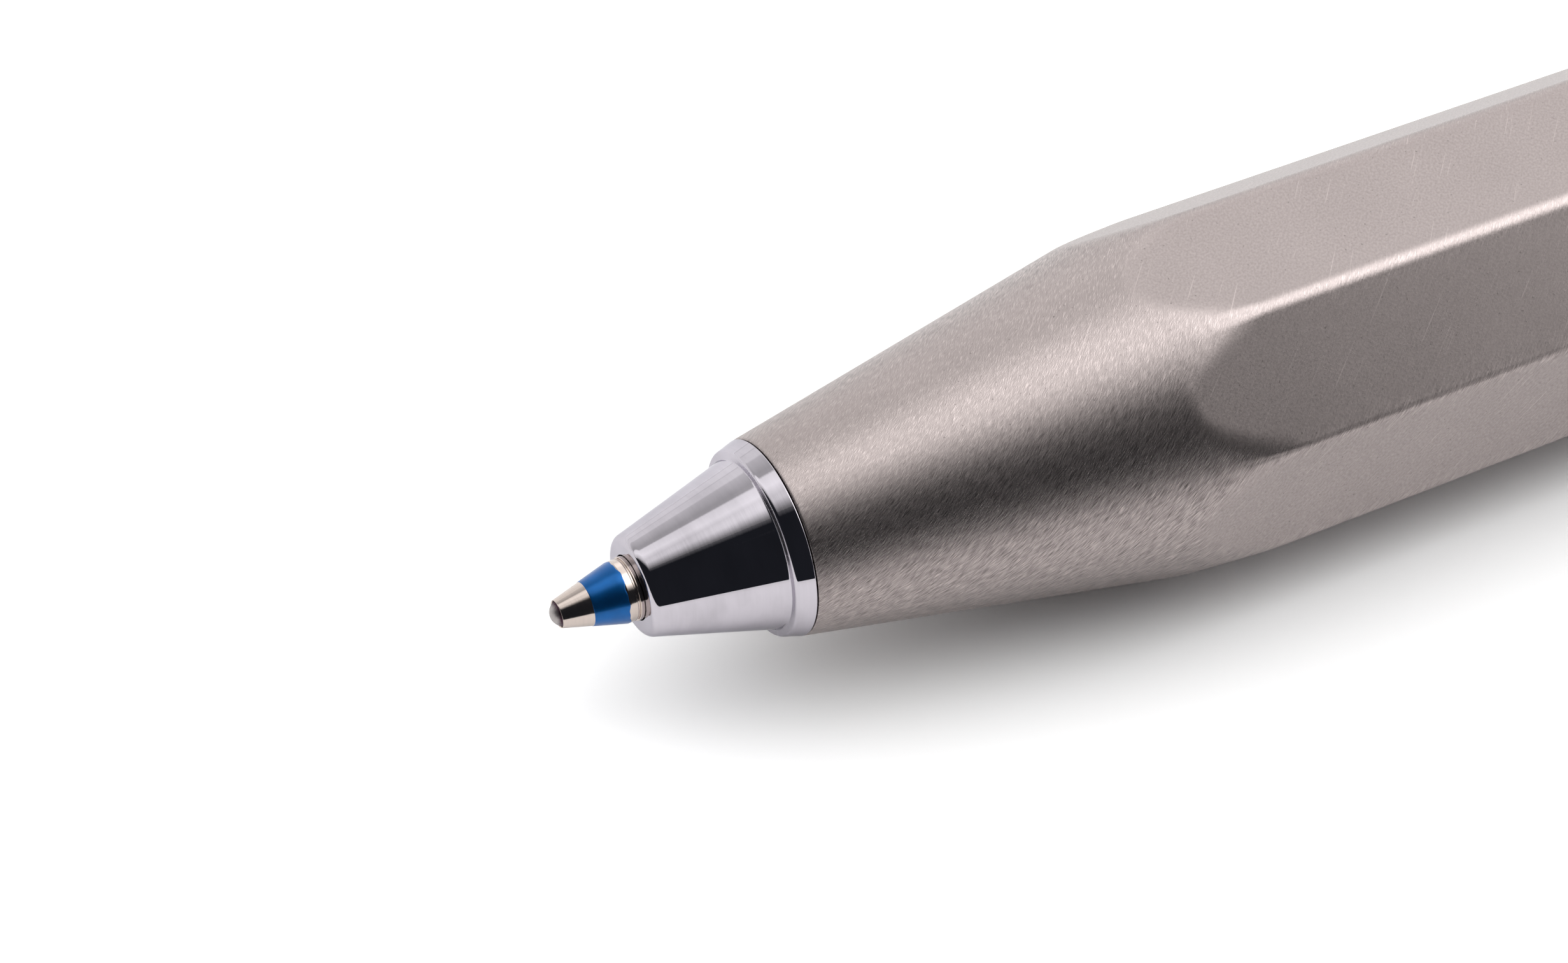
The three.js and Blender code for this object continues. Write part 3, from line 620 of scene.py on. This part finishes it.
# %% Shade of the steel
PIT_SHADE, GLINT_LIGHT, GRAIN_DEPTH = -0.35, 0.32, 0.0036 * MM
clouds = add(
    tree, "ShaderNodeTexNoise", {"Vector": surface, "Scale": 0.35, "Detail": 2.0}, noise_dimensions="2D"
).outputs["Fac"]
shade_grain = add(tree, "ShaderNodeMapRange", {"Value": grain, "To Min": 0.88, "To Max": 1.11}).outputs[0]
shade_cloud = add(tree, "ShaderNodeMapRange", {"Value": clouds, "To Min": 0.96, "To Max": 1.04}).outputs[0]
mottle = add(
    tree, "ShaderNodeMath", {0: noises["rubbed"], 1: noises["rubbed across"]}, operation="ADD"
).outputs[0]
# Painted light: the crossing-stroke mottle grows on the sides that face away from the top, standing in for
# glints in their dark reflections.
upward = add(
    tree, "ShaderNodeSeparateXYZ", {0: add(tree, "ShaderNodeNewGeometry").outputs["Normal"]}
).outputs[2]
shaded_side_share = add(
    tree, "ShaderNodeMapRange", {"Value": upward, "From Min": 0.94, "From Max": 0.74}
).outputs[0]
heavier = add(tree, "ShaderNodeMapRange", {"Value": cone_share, "To Min": 0.18, "To Max": 1.0}).outputs[0]
painted_side_contrast = add(tree, "ShaderNodeMath", {0: shaded_side_share, 1: heavier}, operation="MULTIPLY").outputs[0]
uneven = add(
    tree, "ShaderNodeMapRange",
    {"Value": mottle, "From Min": 0.5, "From Max": 1.5, "To Min": 0.25, "To Max": 1.75},
).outputs[0]
painted_side_mottle = add(tree, "ShaderNodeMix", {"Factor": painted_side_contrast, 2: 1.0, 3: uneven}, data_type="FLOAT").outputs[0]
evenly = add(tree, "ShaderNodeMath", {0: shade_grain, 1: shade_cloud}, operation="MULTIPLY").outputs[0]
shade = add(tree, "ShaderNodeMath", {0: evenly, 1: painted_side_mottle}, operation="MULTIPLY").outputs[0]
dark = add(tree, "ShaderNodeMath", {0: pits, 1: PIT_SHADE}, operation="MULTIPLY").outputs[0]
# Painted highlights: the long scratches, which are real marks, and the glints make the colour lighter, while
# the pits make it darker.
scratch_and_glint_highlights = add(tree, "ShaderNodeMath", {0: scratches, 1: painted_glints}, operation="MAXIMUM").outputs[0]
light = add(tree, "ShaderNodeMath", {0: scratch_and_glint_highlights, 1: GLINT_LIGHT}, operation="MULTIPLY").outputs[0]
marks = add(tree, "ShaderNodeMath", {0: dark, 1: light}, operation="ADD").outputs[0]
level = add(tree, "ShaderNodeMath", {0: shade, 1: marks}, operation="ADD").outputs[0]
tinted = add(
    tree, "ShaderNodeVectorMath", {0: linear(STEEL_GREY)[:3], "Scale": level}, operation="SCALE"
).outputs[0]

# %% Roughness and bump of the steel
rough = add(tree, "ShaderNodeMapRange", {"Value": grain, "To Min": 0.38, "To Max": 0.28}).outputs[0]
depth = add(tree, "ShaderNodeMapRange", {"Value": cone_share, "To Min": 0.25, "To Max": 1.0}).outputs[0]
bump = add(
    tree, "ShaderNodeBump", {"Height": grain, "Strength": depth, "Distance": GRAIN_DEPTH}
).outputs[0]
tree.links.new(tinted, shader.inputs["Base Color"])
tree.links.new(rough, shader.inputs["Roughness"])
tree.links.new(bump, shader.inputs["Normal"])
wear(barrel, steel)

# %% [markdown]
# ### Polished chrome
# Chrome is a bluish white mirror. Polishing on a wheel leaves rings too fine to feel, which draw faint
# streaks across the brightest reflection, and fingers leave soft smudges that are a little rougher. Both are
# weak, so that the reflections stay crisp. The rings are noise that changes quickly along the pen, nine
# times per millimetre, and slowly round it. Real ones are finer still and would not show. The smudges are
# one to two millimetres wide. The polishing wheel does not reach into the corner of the nose's step, so a
# Compare node, which is 1 within a small distance of the step's place along X, keeps it duller there.

# %% Chrome: rings and smudges
CHROME_WHITE, CHROME_EDGE = "#c5c0c7", "#e6e6ea"
STEP_REACH, STEP_DULLNESS, RINGS_DEPTH = 0.035 * MM, 0.25, 0.001 * MM
chrome, tree, shader = finish(
    "polished_chrome", CHROME_WHITE, Metallic=1.0, Roughness=0.02, Specular_Tint=linear(CHROME_EDGE)
)
inside = add(tree, "ShaderNodeTexCoord").outputs["Object"]
RINGS_PER_MM, SMUDGES_PER_MM = np.array([9, 0.35, 0.35]), np.array([0.9, 0.42, 0.42])
ring_place = add(tree, "ShaderNodeMapping", {"Vector": inside, "Scale": RINGS_PER_MM / MM}).outputs[0]
rings_noise = add(
    tree, "ShaderNodeTexNoise", {"Vector": ring_place, "Scale": 1.0, "Detail": 2.0}
).outputs["Fac"]
smudge_place = add(tree, "ShaderNodeMapping", {"Vector": inside, "Scale": SMUDGES_PER_MM / MM}).outputs[0]
smudges = add(
    tree, "ShaderNodeTexNoise", {"Vector": smudge_place, "Scale": 1.0, "Detail": 4.0}
).outputs["Fac"]

# %% Roughness, shade and bump of the chrome
smooth = add(
    tree, "ShaderNodeMapRange",
    {"Value": smudges, "From Min": 0.5, "From Max": 0.8, "To Min": 0.015, "To Max": 0.06},
).outputs[0]
along_x = add(tree, "ShaderNodeSeparateXYZ", {0: inside}).outputs[0]
in_step = add(
    tree, "ShaderNodeMath", {0: along_x, 1: TIP_X + STEP * MM, 2: STEP_REACH}, operation="COMPARE"
).outputs[0]
rough = add(
    tree, "ShaderNodeMath", {0: in_step, 1: STEP_DULLNESS, 2: smooth}, operation="MULTIPLY_ADD"
).outputs[0]
cloudy = add(
    tree, "ShaderNodeMapRange",
    {"Value": smudges, "From Min": 0.38, "From Max": 0.72, "To Min": 1.04, "To Max": 0.86},
).outputs[0]
streaky = add(
    tree, "ShaderNodeMapRange",
    {"Value": rings_noise, "From Min": 0.3, "From Max": 0.7, "To Min": 0.985, "To Max": 1.015},
).outputs[0]
level = add(tree, "ShaderNodeMath", {0: cloudy, 1: streaky}, operation="MULTIPLY").outputs[0]
tinted = add(
    tree, "ShaderNodeVectorMath", {0: linear(CHROME_WHITE)[:3], "Scale": level}, operation="SCALE"
).outputs[0]
bump = add(
    tree, "ShaderNodeBump", {"Height": rings_noise, "Strength": 0.8, "Distance": RINGS_DEPTH}
).outputs[0]
tree.links.new(tinted, shader.inputs["Base Color"])
tree.links.new(rough, shader.inputs["Roughness"])
tree.links.new(bump, shader.inputs["Normal"])
wear(nose, chrome)
wear(bpy.data.objects["button_cap"], chrome)

# %% [markdown]
# ### Small metals
# Nickel silver is a warm white alloy. Spring wire and drawn tube show fine lines where the die has pulled
# them. Plated brass is chrome with a softer polish. They share one recipe, noise that is stretched round the
# axis or along it, with each metal's own colour, roughness and number of lines per millimetre along X, Y and
# Z. Turning and drawing leave lines of a few hundredths of a millimetre, and these are drawn 0.06 to 0.14 mm
# wide, because finer ones do not show.

# %% Turned and drawn metals
LINES_DEPTH = 0.002 * MM
metals = {}
for name, colour, roughness, lines_per_mm, swing in (
    ("turned_nickel_silver", "#cdc0b8", 0.10, (16, 0.5, 0.5), 0.05),
    ("drawn_spring_wire", "#a9aaad", 0.30, (3, 9, 9), 0.10),
    ("drawn_steel_tube", "#bfc1c4", 0.28, (0.3, 7, 7), 0.10),
    ("plated_brass_collar", "#ccc7cb", 0.08, (7, 0.4, 0.4), 0.05),
):
    metal, tree, shader = finish(name, colour, Metallic=1.0, Roughness=roughness)
    inside = add(tree, "ShaderNodeTexCoord").outputs["Object"]
    density = np.array(lines_per_mm) / MM
    place = add(tree, "ShaderNodeMapping", {"Vector": inside, "Scale": density}).outputs[0]
    lines = add(tree, "ShaderNodeTexNoise", {"Vector": place, "Scale": 1.0, "Detail": 2.0}).outputs["Fac"]
    rough = add(
        tree, "ShaderNodeMapRange",
        {"Value": lines, "To Min": roughness - swing / 2, "To Max": roughness + swing},
    ).outputs[0]
    level = add(tree, "ShaderNodeMapRange", {"Value": lines, "To Min": 0.93, "To Max": 1.05}).outputs[0]
    tinted = add(
        tree, "ShaderNodeVectorMath", {0: linear(colour)[:3], "Scale": level}, operation="SCALE"
    ).outputs[0]
    bump = add(
        tree, "ShaderNodeBump", {"Height": lines, "Strength": 0.4, "Distance": LINES_DEPTH}
    ).outputs[0]
    tree.links.new(tinted, shader.inputs["Base Color"])
    tree.links.new(rough, shader.inputs["Roughness"])
    tree.links.new(bump, shader.inputs["Normal"])
    metals[name] = metal
for piece, metal in (
    ("refill_point_turned", "turned_nickel_silver"), ("coil_spring", "drawn_spring_wire"),
    ("refill_neck_turned", "drawn_steel_tube"), ("refill_tube_drawn", "drawn_steel_tube"),
    ("rear_collar", "plated_brass_collar"),
):
    wear(bpy.data.objects[piece], metals[metal])

# %% [markdown]
# ### Carbide ball
# The ball is ground tungsten carbide, a grey metal with a fine dull grain, so that the ink sticks to it. The
# grain is a few thousandths of a millimetre and is drawn 0.1 mm wide, because finer grain does not show. A
# smear of dried ink stays where the ball turns under the rim. The smear follows the station, read from the
# X of the object coordinates, and noise makes its edge uneven.

# %% Carbide with a smear of ink
CARBIDE_GREY, DRIED_INK = "#b4aeac", "#4a3540"
SMEAR_FROM, SMEAR_TO, SMEAR_WAVER, GRIT_PER_MM = 0.16, 0.3, 0.12 * MM, np.full(3, 9)
carbide, tree, shader = finish("ground_carbide", CARBIDE_GREY, Metallic=1.0, Roughness=0.45)
inside = add(tree, "ShaderNodeTexCoord").outputs["Object"]
grit_place = add(tree, "ShaderNodeMapping", {"Vector": inside, "Scale": GRIT_PER_MM / MM}).outputs[0]
grit = add(tree, "ShaderNodeTexNoise", {"Vector": grit_place, "Scale": 1.0, "Detail": 2.0}).outputs["Fac"]
along_x = add(tree, "ShaderNodeSeparateXYZ", {0: inside}).outputs[0]
uneven = add(
    tree, "ShaderNodeMath", {0: grit, 1: SMEAR_WAVER, 2: along_x}, operation="MULTIPLY_ADD"
).outputs[0]
smear = add(
    tree, "ShaderNodeMapRange",
    {"Value": uneven, "From Min": TIP_X + SMEAR_FROM * MM, "From Max": TIP_X + SMEAR_TO * MM},
).outputs[0]
grey = add(tree, "ShaderNodeMapRange", {"Value": grit, "To Min": 0.85, "To Max": 1.12}).outputs[0]
ground = add(
    tree, "ShaderNodeVectorMath", {0: linear(CARBIDE_GREY)[:3], "Scale": grey}, operation="SCALE"
).outputs[0]
inked = add(
    tree, "ShaderNodeMix", {"Factor": smear, 6: ground, 7: linear(DRIED_INK)}, data_type="RGBA"
).outputs[2]
rough = add(tree, "ShaderNodeMapRange", {"Value": grit, "To Min": 0.38, "To Max": 0.52}).outputs[0]
tree.links.new(inked, shader.inputs["Base Color"])
tree.links.new(rough, shader.inputs["Roughness"])
wear(ball, carbide)

# %% [markdown]
# ### Blue lacquer
# The band is a thin transparent blue lacquer over bright metal. The metal shines through it, so it reflects
# like a blue mirror that is a little dull, and its clear surface adds a white gleam of its own. It dried a
# little thicker in some places than in others, and each darker or lighter pool is about 0.7 mm wide.

# %% Lacquer
LACQUER_BLUE, POOLS_PER_MM = "#075a9e", np.full(3, 1.5)
lacquer, tree, shader = finish(
    "transparent_blue_lacquer", LACQUER_BLUE,
    Metallic=0.85, Roughness=0.3, Coat_Weight=0.3, Coat_Roughness=0.12,
)
inside = add(tree, "ShaderNodeTexCoord").outputs["Object"]
place = add(tree, "ShaderNodeMapping", {"Vector": inside, "Scale": POOLS_PER_MM / MM}).outputs[0]
pools = add(tree, "ShaderNodeTexNoise", {"Vector": place, "Scale": 1.0, "Detail": 3.0}).outputs["Fac"]
level = add(tree, "ShaderNodeMapRange", {"Value": pools, "To Min": 0.75, "To Max": 1.25}).outputs[0]
tinted = add(
    tree, "ShaderNodeVectorMath", {0: linear(LACQUER_BLUE)[:3], "Scale": level}, operation="SCALE"
).outputs[0]
tree.links.new(tinted, shader.inputs["Base Color"])
wear(band, lacquer)

# %% [markdown]
# ### Plastics, rubber and ink
# The mechanism's pieces are moulded: acetal is a waxy white, nylon a dull grey. Both come from moulds with
# an eroded face, whose sparkle is drawn as small, shallow noise, seven or nine grains to a millimetre and 3
# or 4 thousandths of a millimetre deep. The rubber ring is nearly black and matte. The ink is a dark blue
# paste. These pieces keep their exact CAD shapes, apart from the bush and the ring.

# %% Moulded and soft finishes
for name, colour, roughness, per_mm, depth, pieces in (
    ("moulded_acetal", "#e9e6dc", 0.42, 9, 0.003, ("guide_sleeve", "cam_rotor", "thrust_plunger")),
    ("moulded_grey_nylon", "#6d6f73", 0.5, 7, 0.004, ("nylon_bush", "refill_end_plug")),
    ("nitrile_rubber", "#1c1c1e", 0.75, 5, 0.006, ("seal_ring_moulded",)),
    ("blue_ink_paste", "#0b2f7a", 0.25, 0.9, 0.004, ("refill_ink",)),
):
    plastic, tree, shader = finish(name, colour, Roughness=roughness)
    inside = add(tree, "ShaderNodeTexCoord").outputs["Object"]
    place = add(tree, "ShaderNodeMapping", {"Vector": inside, "Scale": np.full(3, per_mm) / MM}).outputs[0]
    sparkle = add(tree, "ShaderNodeTexNoise", {"Vector": place, "Scale": 1.0, "Detail": 2.0}).outputs["Fac"]
    level = add(tree, "ShaderNodeMapRange", {"Value": sparkle, "To Min": 0.9, "To Max": 1.06}).outputs[0]
    tinted = add(
        tree, "ShaderNodeVectorMath", {0: linear(colour)[:3], "Scale": level}, operation="SCALE"
    ).outputs[0]
    bump = add(
        tree, "ShaderNodeBump", {"Height": sparkle, "Strength": 0.5, "Distance": depth * MM}
    ).outputs[0]
    tree.links.new(tinted, shader.inputs["Base Color"])
    tree.links.new(bump, shader.inputs["Normal"])
    for piece in pieces:
        wear(bpy.data.objects[piece], plastic)

# %% [markdown]
# ## Camera
# The camera looks down on the nose from close by, a hand's width away, with a lens of moderate length. Its
# place was found by matching the cones, the seam and the flats of the pen to the photograph. It is given as
# a target on the pen, an azimuth, an elevation, a distance and a small roll.

# %% Place the camera
TARGET = Vector((-0.055125, 0.001224, 0.007726))
azimuth, elevation, roll = np.radians([-31.031, 47.661, 4.362])
DISTANCE, LENS, SENSOR = 0.134634, 85.80, 36
level_right = Vector((np.cos(azimuth), np.sin(azimuth), 0))
level_near = Vector((np.sin(azimuth), -np.cos(azimuth), 0))
back = level_near * np.cos(elevation) + Vector((0, 0, np.sin(elevation)))
level_up = back.cross(level_right)
right = level_right * np.cos(roll) + level_up * np.sin(roll)
up = level_up * np.cos(roll) - level_right * np.sin(roll)
place = TARGET + back * DISTANCE
lens = bpy.data.cameras.new("camera")
lens.lens, lens.sensor_width, lens.sensor_fit = LENS, SENSOR, "HORIZONTAL"
lens.clip_start, lens.clip_end = 0.005, 20
camera = bpy.data.objects.new("camera", lens)
camera.matrix_world = Matrix((
    (right.x, up.x, back.x, place.x), (right.y, up.y, back.y, place.y),
    (right.z, up.z, back.z, place.z), (0, 0, 0, 1),
))
bpy.context.scene.collection.objects.link(camera)
bpy.context.scene.camera = camera
print("camera at", [round(v * 1000, 2) for v in place], "mm")

# %% [markdown]
# ## Studio
# Chrome looks like what it mirrors, so the studio matters as much as the metal. The pen lies on white paper.
# The lights stand square to the camera, as a photographer would place them: white cloth hangs overhead and
# behind, a softbox shines down through it on the right, and a black card round the camera draws the sharp
# dark band along the nose, with a small foot of the same card close to the pen. Each is a piece of a dome
# over the pen, a little over a metre away, or 6 cm for the foot. A place on the dome has two angles: how far
# it leans from overhead towards the camera, and how far it lies to the camera's right.
#
# The lamps light the object at a plain level, so white paper alone would come out a light grey. Light Path
# tells which ray arrives, and the paper adds a glow of its own for the camera, and a weaker one for mirrors.
# Ambient Occlusion, the share of open sky over a place, takes that glow away again close to the pen. That is
# a
# painted shadow: the open paper is white, and round the pen the paper is darker where the pen hides the sky,
# on top of the shadow that the lamps cast.

# %% The paper
GLOW_SEEN, GLOW_MIRRORED, SHADOW_REACH, PAPER_HALF = 0.48, 0.15, 0.03, 4
paper, tree, shader = finish("white_paper", "#fafafa", Roughness=0.9, Specular_IOR_Level=0.1)
rays = add(tree, "ShaderNodeLightPath").outputs
mirrored = add(
    tree, "ShaderNodeMath", {0: rays["Is Glossy Ray"], 1: rays["Is Transmission Ray"]}, operation="MAXIMUM"
).outputs[0]
mirrored = add(tree, "ShaderNodeMath", {0: mirrored, 1: GLOW_MIRRORED}, operation="MULTIPLY").outputs[0]
seen = add(
    tree, "ShaderNodeMath", {0: rays["Is Camera Ray"], 1: GLOW_SEEN, 2: mirrored}, operation="MULTIPLY_ADD"
).outputs[0]
# Painted shadow: the glow fades where the pen hides the sky over the paper.
near_pen = add(tree, "ShaderNodeAmbientOcclusion", {"Distance": SHADOW_REACH}, samples=8).outputs["AO"]
open_share = add(
    tree, "ShaderNodeMapRange", {"Value": near_pen, "From Min": 0.28, "From Max": 0.9}
).outputs[0]
glow_outside_painted_shadow = add(tree, "ShaderNodeMath", {0: seen, 1: open_share}, operation="MULTIPLY").outputs[0]
shader.inputs["Emission Color"].default_value = (1, 1, 1, 1)
tree.links.new(glow_outside_painted_shadow, shader.inputs["Emission Strength"])
sheet = bpy.data.meshes.new("paper")
around_sheet = (-1, -1), (1, -1), (1, 1), (-1, 1)
sheet.from_pydata([(x * PAPER_HALF, y * PAPER_HALF, 0) for x, y in around_sheet], [], [(0, 1, 2, 3)])
floor = bpy.data.objects.new("paper", sheet)
bpy.context.scene.collection.objects.link(floor)
wear(floor, paper)


# %% Panels of the dome
PANEL_STEPS = 40


def panel(name, distance, lean, across, levels, fade=((0, 1), (1, 1)), tint="#ffffff"):
    """A patch of the dome between two leans and two right-hand angles, in degrees. It shines in the tint by
    levels, (lean, level) pairs, times fade, (share of the way across, factor) pairs, and hides nothing
    behind it unless its name says card. A point's direction from the target is
    right sin(aside) + cos(aside) (near sin(lean) + up cos(lean))."""
    shares = np.linspace(0, 1, PANEL_STEPS + 1)
    lean_share, across_share = np.meshgrid(shares, shares, indexing="ij")
    tilt = np.radians(lean[0] + (lean[1] - lean[0]) * lean_share)[..., None]
    aside = np.radians(across[0] + (across[1] - across[0]) * across_share)[..., None]
    ahead = np.array(level_near) * np.sin(tilt) + np.array((0, 0, 1)) * np.cos(tilt)
    points = np.array(TARGET) + distance * (np.array(level_right) * np.sin(aside) + np.cos(aside) * ahead)
    i, j = np.meshgrid(np.arange(PANEL_STEPS), np.arange(PANEL_STEPS), indexing="ij")
    corners = [(i, j), (i, j + 1), (i + 1, j + 1), (i + 1, j)]
    mesh = bpy.data.meshes.new(name)
    faces = np.stack([a * (PANEL_STEPS + 1) + b for a, b in corners], axis=-1).reshape(-1, 4)
    mesh.from_pydata(points.reshape(-1, 3).tolist(), [], faces.tolist())
    places = np.stack([np.stack([lean_share[c], across_share[c]], axis=-1) for c in corners], axis=2)
    mesh.uv_layers.new(name="shares").data.foreach_set("uv", places.ravel())
    material = bpy.data.materials.new(name + "_light")
    material.use_nodes = True
    tree = material.node_tree
    tree.nodes.clear()
    place = add(tree, "ShaderNodeUVMap", uv_map="shares").outputs[0]
    axes = add(tree, "ShaderNodeSeparateXYZ", {0: place}).outputs
    top = max(level for angle, level in levels)
    stops = [((angle - lean[0]) / (lean[1] - lean[0]), level / top) for angle, level in levels]
    level = add(tree, "ShaderNodeValToRGB", {0: axes[0]}, stops=stops).outputs[0]
    most = max(factor for share, factor in fade)
    stops = [(share, factor / most) for share, factor in fade]
    soft = add(tree, "ShaderNodeValToRGB", {0: axes[1]}, stops=stops).outputs[0]
    both = add(tree, "ShaderNodeMath", {0: level, 1: soft}, operation="MULTIPLY").outputs[0]
    strength = add(tree, "ShaderNodeMath", {0: both, 1: top * most}, operation="MULTIPLY").outputs[0]
    shine = add(tree, "ShaderNodeEmission", {"Color": linear(tint), "Strength": strength}).outputs[0]
    if "card" not in name:
        clear = add(tree, "ShaderNodeBsdfTransparent").outputs[0]
        shine = add(tree, "ShaderNodeAddShader", {0: clear, 1: shine}).outputs[0]
    add(tree, "ShaderNodeOutputMaterial", {"Surface": shine})
    mesh.materials.append(material)
    patch = bpy.data.objects.new(name, mesh)
    bpy.context.scene.collection.objects.link(patch)
    patch.visible_camera = False
    print(name, "leans", lean, "across", across)
    return patch


# %% Hang the cloth, the softbox and the black card
CARD_LEVEL, CARD_BLACK = 0.03, "#c2cbe0"
panel("cloth_card", 1.2, (-88, 22), (-75, 75), [
    (-88, 1.15), (-74, 1.12), (-72.5, 0.84), (-71, 1.04), (-57, 1.05), (-54, 0.82), (-42, 0.7), (-32, 0.57),
    (-26, 0.58), (-23, 1.22), (-10, 1.36), (-2, 1.08), (7, 0.8), (12, 0.42), (17, 0.15), (22, 0.02),
])
panel("ceiling", 1.05, (-84, -18), (-21, 62), [(-84, 0.0), (-72, 0.6), (-34, 0.8), (-18, 0.0)], fade=[
    (0, 0), (0.1, 1), (0.3, 0.65), (0.9, 0.5), (1, 0),
])
panel("softbox", 1.0, (-44, 24), (-14, 68), [
    (-44, 0.0), (-34, 0.5), (-20, 1.7), (-8, 2.2), (2, 2.1), (10, 1.2), (16, 0.5), (24, 0.0),
], fade=[(0, 0), (0.1, 0.35), (0.2, 0.5), (0.35, 0.7), (0.5, 1.1), (0.75, 1.1), (0.9, 0.6), (1, 0)])
panel("softbox_edge", 1.02, (8, 34), (4, 72), [(8, 0.0), (16, 0.8), (22, 0.7), (28, 0.3), (34, 0.0)], fade=[
    (0, 0), (0.15, 1), (0.9, 1), (1, 0),
])
panel("black_card", 1.1, (19, 90.2), (-90, 61), [(19, CARD_LEVEL), (90.2, CARD_LEVEL)], tint=CARD_BLACK)
foot = panel(
    "black_card_foot", 0.06, (76, 97.2), (-90, 82), [(76, CARD_LEVEL), (97.2, CARD_LEVEL)], tint=CARD_BLACK
)
foot.visible_diffuse = False

# %% The white sky
world = bpy.data.worlds.new("white_sky")
bpy.context.scene.world = world
world.use_nodes = True
world.node_tree.nodes["Background"].inputs["Color"].default_value = (1, 1, 1, 1)
world.node_tree.nodes["Background"].inputs["Strength"].default_value = 1.0
bpy.context.scene.view_settings.view_transform = "Standard"
